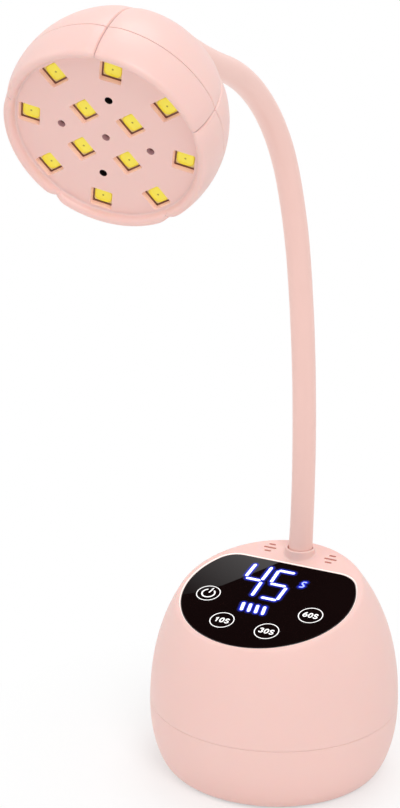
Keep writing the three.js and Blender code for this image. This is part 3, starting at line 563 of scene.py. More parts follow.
def bezier(corners, count):
    """Places on a curve with two corners between its ends, and its directions there."""
    shares, corners = np.linspace(0, 1, count)[:, None], np.array(corners, float)
    place = (1 - shares) * curve_at(*corners[:3], shares) + shares * curve_at(*corners[1:], shares)
    slope = curve_at(*np.diff(corners, axis=0), shares)
    return place, slope / np.linalg.norm(slope, axis=1)[:, None]


def inset(curve, distance):
    place, slope = curve
    return np.stack([place[:, 0] - slope[:, 1] * distance, place[:, 1] + slope[:, 0] * distance], 1)


crown_across, crown_rise = unit(CROWN_ANGLE)
LOWER_SIDE = bezier([
    (FOOT_RADIUS, FOOT_PROUD),
    (FOOT_RADIUS + CORNER_REACH, FOOT_PROUD),
    (BASE_RADIUS, BELLY_HEIGHT - LOWER_BULGE),
    (BASE_RADIUS, BELLY_HEIGHT),
], 49)
UPPER_SIDE = bezier([
    (BASE_RADIUS, BELLY_HEIGHT),
    (BASE_RADIUS, BELLY_HEIGHT + UPPER_BULGE),
    (CROWN_RADIUS + CROWN_REACH * crown_across, CROWN_HEIGHT - CROWN_REACH * crown_rise),
    (CROWN_RADIUS, CROWN_HEIGHT),
], 161)


def top_height(y, drop=0.0):
    return TOP_HEIGHT + y * math.tan(math.radians(TOP_TILT)) - drop / unit(TOP_TILT)[0]


def mound_rings(depth, drop, fillet, floor, rows, angles):
    """Rings up the side, over the rim's fillet and in over the top, or just to the rim without a fillet."""
    side = inset(UPPER_SIDE, depth)
    radius_at = lambda z: np.interp(z, side[:, 1], side[:, 0])
    ring = lambda r, z: round_ring(angles, r, z)
    top_ring = lambda r: ring(r, top_height(r * np.sin(angles), drop))
    low = np.full(len(angles), float(BELLY_HEIGHT))
    high = np.full(len(angles), float(CROWN_HEIGHT))
    for _ in range(HALVINGS):
        middle = (low + high) / 2
        below = middle < top_height(radius_at(middle) * np.sin(angles), drop)
        low, high = np.where(below, middle, low), np.where(below, high, middle)
    edge = low - fillet
    heights = [floor + (edge - floor) * share for share in np.linspace(0, 1, rows)]
    rings = [ring(radius_at(z), z) for z in heights]
    inner_radius = radius_at(low) - fillet
    curve = ring(radius_at(edge), edge), ring(radius_at(low), low), top_ring(inner_radius)
    rings += [curve_at(*curve, share) for share in (np.linspace(0, 1, 7)[1:] if fillet else [1.0])]
    if fillet:
        flat = inner_radius - fillet / 8
        rings += [top_ring(flat * share) for share in np.linspace(1, TOP_MIDDLE, TOP_RINGS)]
    return rings


SLANTED_TOP = Matrix.Translation((0, 0, TOP_HEIGHT * MM)) @ Matrix.Rotation(math.radians(TOP_TILT), 4, "X")


def window_outline(grow):
    half_width, half_depth, chord = WINDOW_HALF_WIDTH + grow, WINDOW_HALF_DEPTH + grow, WINDOW_CHORD + grow
    corner_turn = math.asin((chord - WINDOW_CENTRE) / half_depth)
    arc_turn = corner_turn - math.radians(WINDOW_CORNER_TURN)
    corner = np.array([half_width * math.cos(corner_turn), chord])
    on_arc = lambda turn: np.array([half_width * math.cos(turn), WINDOW_CENTRE + half_depth * math.sin(turn)])
    chord_end = np.array([corner[0] - WINDOW_CORNER_RUN, chord])
    right = [curve_at(chord_end, corner, on_arc(arc_turn), share) for share in np.linspace(0, 1, 13)]
    turns = np.linspace(arc_turn, -math.pi - arc_turn, 122)[1:-1]
    left = [(-x, y) for x, y in reversed(right)]
    return np.array([*right, *[on_arc(t) for t in turns], *left])[::-1]


def slot_outline(x, y, length, width):
    def outline(grow=0.0):
        radius, reach = width / 2 + grow, (length - width) / 2
        return np.array(arc((x + reach, y), radius, -90, 90, 10) + arc((x - reach, y), radius, 90, 270, 10))
    return outline


def circle_outline(x, y, radius, steps=40):
    def outline(grow=0.0):
        return np.array(arc((x, y), radius + grow, 0, 360, steps)[:-1])
    return outline


def square_outline(x, y, size, turn, corner):
    def outline(grow=0.0):
        half = size / 2 - corner
        corners = []
        for start, (side, end) in zip((0, 90, 180, 270), ((1, 1), (-1, 1), (-1, -1), (1, -1))):
            corners += arc((side * half, end * half), corner + grow, start, start + 90, 3)
        across, rise = unit(turn)
        return np.array([(x + a * across - b * rise, y + a * rise + b * across) for a, b in corners])
    return outline


def top_cutter(name, outline, low, round_by, material):
    return new_piece(name, *loft(flared(outline, low, round_by)), [material], SLANTED_TOP)


def vent_cutters():
    rows = [(-VENT_PITCH, VENT_SHORT), (0, VENT_LONG), (VENT_PITCH, VENT_SHORT)]
    slots = [slot_outline(x, VENT_Y + y, length, VENT_WIDTH) for x in (-VENT_X, VENT_X) for y, length in rows]
    return [top_cutter("vent_cut", slot, -VENT_DEPTH, VENT_ROUND, VENT_PAINTED_SHADE) for slot in slots]


def upper_shell():
    angles = full_turn(SHELL_COLUMNS)
    floor = SEAM_HEIGHT + SEAM_GAP
    outer = mound_rings(0, 0, RIM_FILLET, floor + SEAM_ROUND, 44, angles)
    inner = mound_rings(WALL, TOP_WALL, 0, floor, 20, angles)
    lip = arc((BASE_RADIUS - SEAM_ROUND, floor + SEAM_ROUND), SEAM_ROUND, -90, -15, 4)
    rings = [*inner[::-1], *[round_ring(angles, r, z) for r, z in lip], *outer]
    shell = new_piece("base_upper_shell_fine", *loft(rings), [PINK])
    socket = [(COLLAR_HOLE, TOP_HEIGHT - TOP_WALL), (COLLAR_HOLE, CROWN_HEIGHT)]
    # The pocket's walls and lip take a painted highlight
    cut(shell, [
        top_cutter("pocket_cut", lambda grow: window_outline(grow + POCKET_GAP),
                   -WINDOW_SINK - WINDOW_THICKNESS - SEAT_GAP, POCKET_ROUND, RIM_PAINTED_HIGHLIGHT),
        top_cutter("opening_cut", lambda grow: window_outline(grow - WINDOW_LEDGE), -TOP_WALL * 2,
                   OPENING_ROUND, PINK),
        new_piece("socket_cut", *turned(socket, SOCKET_COLUMNS), [PINK],
                  Matrix.Translation((0, NECK_FOOT_Y * MM, 0))),
        # The vents' walls take painted shade
        *vent_cutters(),
    ])
    finished(shell, "base", ["base_upper_shell"])


def lower_cover():
    seam = SEAM_HEIGHT - SEAM_GAP
    tongue = BASE_RADIUS - WALL - TONGUE_CLEARANCE
    tongue_top = SEAM_HEIGHT + TONGUE_HEIGHT
    recess, recess_top = PAD_RADIUS + SEAT_GAP, PAD_THICKNESS + SEAT_GAP
    inner = [p for p in inset(LOWER_SIDE, WALL)[::4] if p[1] > COVER_FLOOR + WALL]
    profile = [
        (CENTRE_HOLE, recess_top), (recess, recess_top),
        *arc((recess + SEAM_ROUND, FOOT_PROUD + SEAM_ROUND), SEAM_ROUND, 180, 270, 4),
        *LOWER_SIDE[0],
        *arc((BASE_RADIUS - SEAM_ROUND, seam - SEAM_ROUND), SEAM_ROUND, 15, 90, 4),
        (tongue, seam), (tongue, tongue_top), (tongue - TONGUE_WALL, tongue_top),
        *reversed(inner),
        (inner[0][0] - WALL, COVER_FLOOR), (CENTRE_HOLE, COVER_FLOOR),
    ]
    cover = new_piece("base_lower_cover_fine", *turned(profile, SHELL_COLUMNS, True), [PINK])
    low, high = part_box("usb_socket")
    place = Matrix.Translation((0, 0, (low.z + high.z) / 2)) @ Matrix.Rotation(math.radians(90), 4, "X")
    mouth = slot_outline(0, 0, INLET_WIDTH, INLET_HEIGHT)
    levels = [(0, -BASE_RADIUS * INLET_REACH), (0, INLET_EDGE * 2 - BASE_RADIUS),
              (INLET_EDGE * 3, -BASE_RADIUS - INLET_EDGE)]
    inlet = [level_ring(mouth(grow), z) for grow, z in levels]
    cut(cover, [new_piece("inlet_cut", *loft(inlet), [PINK], place)])
    finished(cover, "base", ["base_lower_cover"])


def foot_pad():
    radius, top = PAD_RADIUS, PAD_THICKNESS
    edge = top / 3
    profile = [
        (CENTRE_HOLE, 0), (radius - edge * 6, 0), (radius - edge * 5, edge / 2),
        (radius - edge * 4, edge / 2), (radius - edge * 3, 0), (radius - edge, 0),
        *arc((radius - edge, edge), edge, -90, 0, 5), (radius, top), (CENTRE_HOLE, top),
    ]
    pad = new_piece("foot_pad_fine", *turned(profile, FOOT_COLUMNS), [FOOT_RUBBER])
    finished(pad, "base", ["foot_pad"])


def display_window():
    sides = [(0, WINDOW_THICKNESS), *rounding(WINDOW_BEVEL, np.linspace(0, 90, 6)), (WINDOW_BEVEL * 1.3, 0)]
    rings = [level_ring(window_outline(-back), -WINDOW_SINK - down) for back, down in sides]
    window = new_piece("display_window_fine", *loft(rings), [GLASS], SLANTED_TOP)
    finished(window, "base", ["display_window"])


# Figures, bars, rings and signs on the window: flat strokes with round ends

def stroke(points, width, closed=False):
    """The outline of a stroke along the points, with round ends, or two loops if it is closed."""
    points = np.array(points, float)
    ahead, behind = np.roll(points, -1, 0), np.roll(points, 1, 0)
    if not closed:
        ahead[-1], behind[0] = points[-1], points[0]
    along = ahead - behind
    along /= np.linalg.norm(along, axis=1)[:, None]
    side = np.stack([-along[:, 1], along[:, 0]], 1) * width / 2
    if closed:
        return points + side, points - side
    caps = []
    for spot, out in ((points[-1], side[-1]), (points[0], -side[0])):
        turn = math.degrees(math.atan2(out[1], out[0]))
        caps.append(arc(spot, width / 2, turn, turn - 180, 8))
    return np.array([*(points + side)[1:-1], *caps[0], *(points - side)[1:-1][::-1], *caps[1]])


def flat_piece(name, outlines, level, material):
    """One thin piece made of closed outlines. A pair of outlines is a ring."""
    parts, top = [], level + PRINT_THICKNESS
    for outline in outlines:
        rings = [(outline, level), (outline, top)]
        if isinstance(outline, tuple):
            outer, inner = outline
            rings = [(outer, level), (outer, top), (inner, top), (inner, level)]
        parts.append(loft([level_ring(*ring) for ring in rings], len(rings) > 2))
    points, faces, _ = joined(parts)
    finished(new_piece(name, points, faces, [material], SLANTED_TOP), "base")


def display_figures():
    four = [[(-12.5, 8.4), (-12.6, 1.6)], [(-11.6, 0.1), (-7, 0.1)],
            [(-6, 8.4), (-6, 1.2)], [(-5.7, -1.2), (-5.4, -8.6)]]
    five = [[(-2, 8), (3, 8)], [(-2.7, 7.2), (-2.4, 1)], [(-1.6, -0.4), (3.2, -0.4)],
            [(4.3, -1.6), (4.3, -8)], [(-1.2, -9.1), (3.5, -9.1)]]
    unit_sign = [(9.8, 4.3), (8.9, 4.2), (8.6, 3.5), (8.9, 2.9), (9.5, 2.5), (9.9, 1.9), (9.5, 1.2),
                 (8.6, 1.1)]
    bars = [[(x, -14.3), (x + 0.8, -17.9)] for x in (-6.1 + BAR_PITCH * k for k in range(4))]
    lines = [*[(s, DIGIT_LINE) for s in four + five], *[(b, BAR_LINE) for b in bars]]
    flat_piece("display_figures", [stroke(s, w) for s, w in lines], PRINT_LEVEL, DIGIT_LIGHT)
    flat_piece("display_unit_sign", [stroke(unit_sign, SIGN_LINE)], PRINT_LEVEL, SIGN_LIGHT)
    lines.append((unit_sign, SIGN_LINE))
    for k, ((wider, sink), material) in enumerate(zip(GLOW_STEPS, GLOW)):
        halo = [stroke(s, w + wider) for s, w in lines]
        flat_piece(f"display_glow_{k + 1}", halo, PRINT_LEVEL - PRINT_THICKNESS * sink, material)


def key_signs():
    ink = lambda name, outlines: flat_piece(name, outlines, PRINT_LEVEL, KEY_INK)
    ring = lambda x, y: stroke(circle_outline(x, y, KEY_RING_RADIUS, 64)(), KEY_LINE, True)
    x, y = KEY_PLACES["power"]
    marks = [arc((x, y), POWER_RADIUS, 122, 410, 28), [(x + 0.1, y + 0.5), (x + 0.5, y + 3.1)]]
    ink("key_power_sign", [ring(x, y), *[stroke(mark, POWER_LINE) for mark in marks]])
    for name in ("10s", "30s", "60s"):
        x, y = KEY_PLACES[name]
        ink("key_" + name + "_sign", [ring(x, y), *written(name.upper(), x, y)])


def written(digits, x, y):
    """Plain figures drawn as strokes, centred on a key."""
    outlines = []
    for k, digit in enumerate(digits):
        left = x + (k - 1) * FIGURE_STEP - FIGURE_WIDTH / 2
        for line in FIGURES[digit]:
            points = [(left + u * FIGURE_WIDTH, y + (v - 0.5) * FIGURE_HEIGHT) for u, v in line]
            closed = points[0] == points[-1]
            outlines.append(stroke(points[:-1] if closed else points, FIGURE_LINE, closed))
    return outlines


def oval(x, y, half_width, half_height, start=0, end=360, steps=20):
    return [(x + half_width * a, y + half_height * b) for a, b in arc((0, 0), 1, start, end, steps)]


FIGURES = {
    "0": [oval(0.5, 0.5, 0.5, 0.5)],
    "1": [[(0.2, 0.78), (0.6, 1), (0.6, 0)]],
    "3": [oval(0.45, 0.75, 0.45, 0.25, 150, -90, 12) + oval(0.45, 0.26, 0.5, 0.26, 90, -150, 12)],
    "6": [oval(0.5, 0.3, 0.5, 0.3), oval(1, 0.3, 1, 0.75, 112, 180, 8)],
    "S": [oval(0.5, 0.75, 0.46, 0.25, 35, 270, 12) + oval(0.5, 0.25, 0.5, 0.25, 90, -145, 12)],
}


# Neck: a smooth sleeve over the spine, in pieces that each span one joint

def neck_line():
    """The run so far, the place and the direction at close steps along the neck, from the base up."""
    place = np.array([0, NECK_FOOT_Y, NECK_START])
    lean, side = NECK_START_LEAN, 0.0
    line = [(0.0, *place, *heading_of(lean, side))]
    for stretch in NECK_STRETCHES:
        length, lean_step, side_step = [part / NECK_LINE_STEPS for part in stretch]
        for _ in range(NECK_LINE_STEPS):
            place = place + heading_of(lean + lean_step / 2, side + side_step / 2) * length
            lean, side = lean + lean_step, side + side_step
            line.append((line[-1][0] + length, *place, *heading_of(lean, side)))
    return np.array(line).T


def heading_of(lean, side):
    ahead, tilt = unit(lean)
    forward, across = unit(side)
    return np.array([across, -tilt * forward, ahead * forward])


def neck_station(along):
    runs, *parts = NECK_LINE
    values = np.array([np.interp(along, runs, part) for part in parts])
    return values[:3], values[3:] / np.linalg.norm(values[3:])


def neck_ring(along):
    place, heading = neck_station(along)
    right = np.array([1.0, 0, 0]) - heading * heading[0]
    right /= np.linalg.norm(right)
    up = np.cross(heading, right)
    turns = full_turn(NECK_COLUMNS)
    return place + sleeve_radius(along) * (np.outer(np.cos(turns), right) + np.outer(np.sin(turns), up))


def sleeve_radius(along):
    flare = NECK_FLARE * math.exp(-(max(0.0, along - NECK_SUNK) / NECK_FLARE_LENGTH) ** 2)
    ripple = sum(height * math.sin(along / length) for height, length in NECK_RIPPLES)
    return NECK_RADIUS + flare + ripple


def neck_sleeve():
    total = sum(length for length, _, _ in NECK_STRETCHES)
    joints = np.linspace(NECK_FIRST_JOINT, total - NECK_LAST_JOINT_FROM_END, NECK_JOINTS)
    ends = [0.0, *((joints[1:] + joints[:-1]) / 2), total]
    for i, joint in enumerate(joints):
        steps = int((ends[i + 1] - ends[i]) / NECK_RING_STEP)
        rings = [neck_ring(along) for along in np.linspace(ends[i], ends[i + 1], steps + 1)]
        sleeve = new_piece(f"neck_sleeve_{i:02d}", *loft(rings), [SLEEVE])
        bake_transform(sleeve)
        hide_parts(f"neck_section_{i:02d}", *(["neck_section_12"] if i == NECK_JOINTS - 1 else []))


def neck_collar():
    top = top_height(NECK_FOOT_Y + COLLAR_RADIUS) + COLLAR_PROUD
    angles = full_turn(COLLAR_COLUMNS)
    ring = lambda r, z: round_ring(angles, r, z, NECK_FOOT_Y)
    casing_under = lambda r: top_height(NECK_FOOT_Y + r * np.sin(angles))
    foot_line = casing_under(COLLAR_RADIUS)
    round_top, round_foot = [np.minimum(size, (top - foot_line) / 2) for size in (COLLAR_ROUND, COLLAR_FOOT)]
    low = top - COLLAR_DEPTH
    outer, hole = COLLAR_RADIUS + round_foot, COLLAR_HOLE - COLLAR_SKIN
    foot = (ring(COLLAR_RADIUS, foot_line + round_foot), ring(COLLAR_RADIUS, foot_line),
            ring(outer, casing_under(outer) + COLLAR_SKIN))
    rings = [
        ring(COLLAR_BORE, low), ring(COLLAR_BORE, top - COLLAR_LIP),
        *[ring(COLLAR_BORE + back, top - down) for back, down in rounding(COLLAR_LIP, (30, 60, 90))],
        *[ring(COLLAR_RADIUS - back, top - down) for back, down in rounding(round_top, range(90, -1, -18))],
        *[curve_at(*foot, share) for share in np.linspace(0, 1, 7)],
        *[ring(r, casing_under(r) - COLLAR_SKIN) for r in (outer, hole)], ring(hole, low),
    ]
    collar = new_piece("neck_collar_fine", *loft(rings, True), [PINK])
    finished(collar, "base")


# Head

def centre_of(node):
    low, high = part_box(node)
    return (low + high) / 2


def head_frame():
    lamps = [centre_of(f"led_outer_{i}") for i in range(1, 9)]
    middle = sum(lamps, Vector()) / len(lamps)
    x_axis = (lamps[0] - middle).normalized()
    z_axis = x_axis.cross(lamps[2] - middle).normalized()
    place = Matrix((x_axis, z_axis.cross(x_axis), z_axis)).transposed().to_4x4()
    place.translation = middle + z_axis * LED_CENTRE_DEPTH * MM
    return place


def head_outer(z):
    rise = (z + HEAD_WIDEST_BEHIND) / HEAD_HALF_DEPTH
    return HEAD_RADIUS * math.sqrt(max(0.0, 1 - rise * rise))


def petal_angles():
    half = 180 / PETALS
    petal = np.array([*PETAL_STEPS, *[2 * half - step for step in PETAL_STEPS[-2:0:-1]]])
    return np.radians(np.concatenate([PETAL_PHASE + 2 * half * k + petal for k in range(PETALS)]))


def from_groove(angles):
    turn = math.radians(360 / PETALS)
    return np.abs((angles - math.radians(PETAL_PHASE) + turn / 2) % turn - turn / 2)


def petal_rings(profile, angles):
    """Rings of (radius, z, share of the groove's depth, share of the rim's notch)."""
    rings, away = [], from_groove(angles)
    for r, z, groove, notch in profile:
        along = away * max(r, 1.0)
        depth = PETAL_CURL * np.exp(-(along / PETAL_CURL_REACH) ** 2)
        depth += GROOVE_DEPTH * np.clip(1 - along / GROOVE_HALF_WIDTH, 0, 1)
        fade = smooth_share((r - HEAD_COLLAR_RADIUS) / (HEAD_COLLAR_RADIUS * 1.5))
        radius = r - depth * groove * fade
        height = z - notch * RIM_NOTCH * np.exp(-(away * HEAD_RADIUS / RIM_NOTCH_REACH) ** 2)
        rings.append(round_ring(angles, radius, height))
    return rings


def groove_slots(profile, columns):
    """The painted shade material on the faces along the middle of each groove of a closed loft."""
    per_petal = columns // PETALS
    slots = []
    for (r, _, groove, _), (_, _, next_groove, _) in zip(profile, [*profile[1:], profile[0]]):
        shaded = min(groove, next_groove) > 0.5 and r > HEAD_COLLAR_RADIUS * 2
        slots += [int(shaded and column % per_petal in (0, per_petal - 1)) for column in range(columns)]
    return slots


def dome(inset_by, start, end, steps):
    radius, depth = HEAD_RADIUS - inset_by, HEAD_HALF_DEPTH - inset_by
    turns = map(unit, np.linspace(start, end, steps + 1))
    return [(radius * across, -HEAD_WIDEST_BEHIND - depth * back) for across, back in turns]


def petal_piece(node, profile):
    angles = petal_angles()
    points, faces = loft(petal_rings(profile, angles), True)
    piece = new_piece(node + "_fine", points, faces, [HEAD_PINK, GROOVE_PAINTED_SHADE], HEAD, HEAD_SHARP,
                      groove_slots(profile, len(angles)))
    finished(piece, "head", [node])


def head_back_shell():
    front = -HEAD_SEAM_BEHIND - HEAD_SEAM_GAP
    back = -HEAD_WIDEST_BEHIND - HEAD_HALF_DEPTH - HEAD_COLLAR_HEIGHT
    floor = back + COLLAR_DEPTH
    seam_turn = math.degrees(math.asin((SEAM_ROUND - front - HEAD_WIDEST_BEHIND) / HEAD_HALF_DEPTH))
    collar_turn = lambda radius: math.degrees(math.acos((HEAD_COLLAR_RADIUS + COLLAR_FOOT) / radius))
    outer = dome(0, seam_turn, collar_turn(HEAD_RADIUS), 60)
    inner = dome(HEAD_WALL, 1, collar_turn(HEAD_RADIUS - HEAD_WALL), 24)
    foot = outer[-1]
    fillet = [(foot[0] - COLLAR_FOOT * share * (2 - share), foot[1] - COLLAR_FOOT * share**2)
              for share in np.linspace(0, 1, 6)[1:]]
    rim = arc((HEAD_COLLAR_RADIUS - HEAD_COLLAR_ROUND, back + HEAD_COLLAR_ROUND), HEAD_COLLAR_ROUND,
              0, -90, 6)
    plain = lambda points: [(r, z, 0, 0) for r, z in points]
    seam_edge = arc((outer[0][0] - SEAM_ROUND, front - SEAM_ROUND), SEAM_ROUND, 90, 15, 4)
    profile = [
        (inner[0][0], front, 0, 0),
        *[(r, z, 1, 0) for r, z in seam_edge + outer],
        *plain([*fillet, *rim, (HEAD_COLLAR_BORE + COLLAR_LIP, back), (HEAD_COLLAR_BORE, back + COLLAR_LIP),
                (HEAD_COLLAR_BORE, floor), (NECK_BORE, floor), (NECK_BORE, floor + HEAD_WALL),
                (HEAD_COLLAR_RADIUS, floor + HEAD_WALL), *reversed(inner)]),
    ]
    petal_piece("head_back_shell", profile)


def head_front_ring():
    back = -HEAD_SEAM_BEHIND + HEAD_SEAM_GAP
    hole = PLATE_RADIUS + PLATE_GAP
    ledge = -PLATE_THICKNESS - SEAT_GAP
    under_ledge = ledge - LEDGE_THICKNESS
    tongue = HEAD_RADIUS - HEAD_WALL - TONGUE_CLEARANCE
    tongue_end = -HEAD_SEAM_BEHIND - TONGUE_HEIGHT
    join_across, join_rise = unit(RIM_JOIN_TURN)
    centre = HEAD_RIM_FRONT - RIM_ALONG
    join = centre + RIM_ALONG * join_rise
    crest = head_outer(join) - RIM_ACROSS * join_across
    seam_edge = arc((head_outer(back + SEAM_ROUND) - SEAM_ROUND, back + SEAM_ROUND), SEAM_ROUND, -90, -15, 4)
    outer = [(head_outer(z), z) for z in np.linspace(back + SEAM_ROUND, join, 30)]
    curl = [(crest + RIM_ACROSS * across, centre + RIM_ALONG * rise)
            for across, rise in map(unit, np.linspace(RIM_JOIN_TURN, COVE_TURN, 19)[1:])]
    notch_at = lambda z: float(smooth_share((z - RIM_NOTCH_FROM) / (HEAD_RIM_FRONT - RIM_NOTCH_FROM)))
    profile = [(r, z, 1, notch_at(z)) for r, z in seam_edge + outer]
    profile += [(r, z, 1 - k / (len(curl) - 1), notch_at(z)) for k, (r, z) in enumerate(curl)]
    cove = np.array([curl[-1], (curl[-1][0] - RIM_ACROSS * 0.03, COVE_SKIN), (COVE_FOOT, COVE_SKIN)])
    for share in np.linspace(0, 1, 9)[1:]:
        r, z = curve_at(*cove, share)
        profile.append((r, z, 0, notch_at(z) * (1 - share)**2))
    under = [(COVE_FOOT, COVE_SKIN / 4), (hole, COVE_SKIN / 4), (hole, ledge), (hole - LEDGE_WIDTH, ledge),
             (hole - LEDGE_WIDTH, under_ledge), (tongue - TONGUE_WALL, under_ledge - HEAD_WALL),
             (tongue - TONGUE_WALL, tongue_end), (tongue, tongue_end), (tongue, back)]
    petal_piece("head_front_ring", profile + [(r, z, 0, 0) for r, z in under])


def lamp_places():
    outer = [(f"led_outer_{i + 1}", LED_CIRCLE, 45 * i) for i in range(8)]
    inner = [(f"led_inner_{i + 1}", LED_INNER_CIRCLE, 45 + 90 * i) for i in range(4)]
    return outer + inner


def lamp_windows():
    return [square_outline(*(radius * part for part in unit(angle)), LED_WINDOW, angle, LED_WINDOW_CORNER)
            for _, radius, angle in lamp_places()]


def plate_holes():
    spots = [(0, 0), *arc((0, 0), PLATE_HOLE_CIRCLE, 0, 270, 3)]
    return [circle_outline(x, y, PLATE_HOLE_RADIUS) for x, y in spots]


def filled(points, loops, upward):
    """Triangles that fill the first loop around the others, all facing the same way."""
    flat = [[Vector(points[i]) for i in loop] for loop in loops]
    order = [i for loop in loops for i in loop]
    faces = []
    for a, b, c in tessellate_polygon(flat):
        a, b, c = order[a], order[b], order[c]
        p, q, r = points[a], points[b], points[c]
        area = (q[0] - p[0]) * (r[1] - p[1]) - (q[1] - p[1]) * (r[0] - p[0])
        faces.append((a, b, c) if (area > 0) == upward else (a, c, b))
    return faces


def hole_wall(flare, level):
    """Growth and height up a hole: straight to the level, then opening in a funnel with a rounded lip."""
    lip = [(flare + back, -down) for back, down in rounding(HOLE_LIP, LIP_TURNS)]
    return [(0, -PLATE_THICKNESS), (0, -level), (flare, -HOLE_LIP), *lip, (lip[-1][0] + PLATE_GUARD, 0)]


def lamp_plate():
    """A disc with a rounded edge and its holes. Flat rings round them guard the smooth shading."""
    side = [(0, -PLATE_THICKNESS), *[(-back, -down) for back, down in rounding(PLATE_EDGE, (0, *LIP_TURNS))],
            (-PLATE_EDGE - PLATE_GUARD, 0)]
    shapes = [(circle_outline(0, 0, PLATE_RADIUS, PLATE_COLUMNS), side, [])]
    # The lamp windows' walls take painted shade below the lamps' level and a painted glow in the funnel above
    # them; the plate holes take painted shade
    shapes += [(outline, hole_wall(LED_WINDOW_FLARE, LED_RECESS), [1, 2]) for outline in lamp_windows()]
    shapes += [(outline, hole_wall(0, PLATE_THICKNESS / 2), [look, look])
               for outline, look in zip(plate_holes(), HOLE_SHADE_SLOTS)]
    points, faces, slots, low_loops, top_loops = [], [], [], [], []
    for outline, profile, looks in shapes:
        count, start = len(outline()), len(points)
        for k, (grow, z) in enumerate(profile):
            points += [(x, y, z) for x, y in outline(grow)]
            if k:
                ring = band(start + (k - 1) * count, start + k * count, count)
                faces += [tuple(reversed(face)) for face in ring] if looks else ring
                slots += [looks[k - 1] if k <= len(looks) else 0] * count
        low_loops.append(list(range(start, start + count)))
        top_loops.append(list(range(len(points) - count, len(points))))
    for loops, upward in ((low_loops, False), (top_loops, True)):
        cap = filled(points, loops, upward)
        faces += cap
        slots += [0] * len(cap)
    materials = [PLATE_PINK, WELL_PAINTED_SHADE, FUNNEL_PAINTED_GLOW, SCREW_HOLE_PAINTED_SHADE, BOARD_HOLE_PAINTED_SHADE]
    plate = new_piece("lamp_plate_fine", points, faces, materials, HEAD, face_materials=slots)
    finished(plate, "head", ["lamp_plate"])


def lamp(name, radius, angle):
    x, y = [radius * part for part in unit(angle)]
    top = -LED_RECESS - LED_DOME
    square = lambda size, corner, z: level_ring(square_outline(x, y, size, angle, corner)(), z)
    narrow, wide = (LED_SIZE - 2 * LED_BEVEL, LED_CORNER - LED_BEVEL), (LED_SIZE, LED_CORNER)
    case = [square(*narrow, top - LED_BODY), square(*wide, top - LED_BODY + LED_BEVEL),
            square(*wide, top - LED_BEVEL), square(*narrow, top)]
    cap = []
    for across, rise in map(unit, (0, 15, 35, 55, 75)):
        share = LED_DOME_TOP + (1 - LED_DOME_TOP) * across
        height = top + LED_DOME * LED_DOME_RISE * rise
        cap.append(square(LED_DOME_SIZE * share, LED_DOME_CORNER * share, height))
    dot = [level_ring(circle_outline(x, y, DIE_RADIUS, 16)(), top + LED_DOME * share) for share in DIE_LEVELS]
    points, faces, slots = joined([loft(rings) for rings in (case, cap, dot)])
    piece = new_piece("lamp_" + name, points, faces, [LED_CASE, PHOSPHOR_AND_PAINTED_GLOW, DIE], HEAD, face_materials=slots)
    finished(piece, "head", [name])


# Finishes of the pieces that stay as the CAD made them

CARRIED = [
    (brushed("zinc_steel", (190, 190, 194), 0.35),
     "counterweight base_screw_front base_screw_left base_screw_right"),
    (moulded("cell_wrap_blue", (66, 104, 176), 0.05, 0.35, 800, 0.2), "battery_cell"),
    (moulded("dark_cradle_plastic", (34, 34, 37), 0.08, 0.55, 1400, 0.3), "battery_cradle"),
    (moulded("board_green", (40, 92, 58), 0.06, 0.5, 900, 0.3), "charge_board control_board"),
    (moulded("display_block_grey", (92, 92, 97), 0.05, 0.5, 900, 0.2), "digit_display"),
    # Painted shade and glow: the LED board is a darker pink than its own white and gives off a faint light
    (moulded("led_board_painted_shade_and_glow", (196, 152, 144), 0.03, 0.5, 900, 0.2, **glowing(140, 102, 104, 0.2)),
     "led_board"),
    (brushed("turned_brass", (196, 164, 92), 0.3),
     "neck_ferrule_lower neck_ferrule_upper neck_nut_lower neck_nut_upper"),
    (moulded("black_screw", (10, 8, 8), 0.1, 0.5, 1200, 0.2), "plate_screw_lower plate_screw_upper"),
    (brushed("socket_steel", (205, 205, 210), 0.25), "usb_socket"),
    (moulded("key_foam_grey", (82, 82, 86), 0.06, 0.8, 1300, 0.6),
     "touch_pad_10s touch_pad_30s touch_pad_60s touch_pad_power"),
]


def dress_carried():
    for material, names in CARRIED:
        for name in names.split():
            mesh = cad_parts[name].data
            mesh.materials.clear()
            mesh.materials.append(material)
            shade(mesh, CARRIED_SHARP)


# Stage

def photo_camera():
    across, ahead = unit(CAMERA_AZIMUTH)
    level, climb = unit(CAMERA_ELEVATION)
    back = Vector((ahead * level, -across * level, climb))
    right = Vector((across, ahead, 0))
    up = back.cross(right)
    turn, slip = unit(CAMERA_ROLL)
    rolled = right * turn + up * slip
    place = Matrix((rolled, back.cross(rolled), back)).transposed().to_4x4()
    place.translation = Vector(CAMERA_PLACE) * MM
    data = bpy.data.cameras.new("photo_camera")
    data.sensor_fit = "VERTICAL"
    data.sensor_height = SENSOR
    data.lens = FOCAL_PIXELS * SENSOR / IMAGE_HEIGHT
    data.clip_start, data.clip_end = CAMERA_CLIP
    camera = linked("photo_camera", data)
    camera.matrix_world = place
    bpy.context.scene.camera = camera
    return camera


def soft_lamp(name, place, aim, size, power, colour):
    data = bpy.data.lights.new(name, "AREA")
    data.shape, data.size, data.energy, data.color = "DISK", size, power, colour
    lamp_object = linked(name, data)
    turn = (Vector(place) - Vector(aim)).to_track_quat("Z", "Y")
    lamp_object.matrix_world = Matrix.Translation(place) @ turn.to_matrix().to_4x4()


def seen_ray(tree):
    """1 for rays from the camera, and for those that mirrors and clear things send on."""
    path = add_node(tree, "LightPath")
    either, third = [add_node(tree, "Math", "MAXIMUM") for _ in range(2)]
    wire(path, "Is Camera Ray", either, 0)
    wire(path, "Is Glossy Ray", either, 1)
    wire(either, "Value", third, 0)
    wire(path, "Is Transmission Ray", third, 1)
    return third


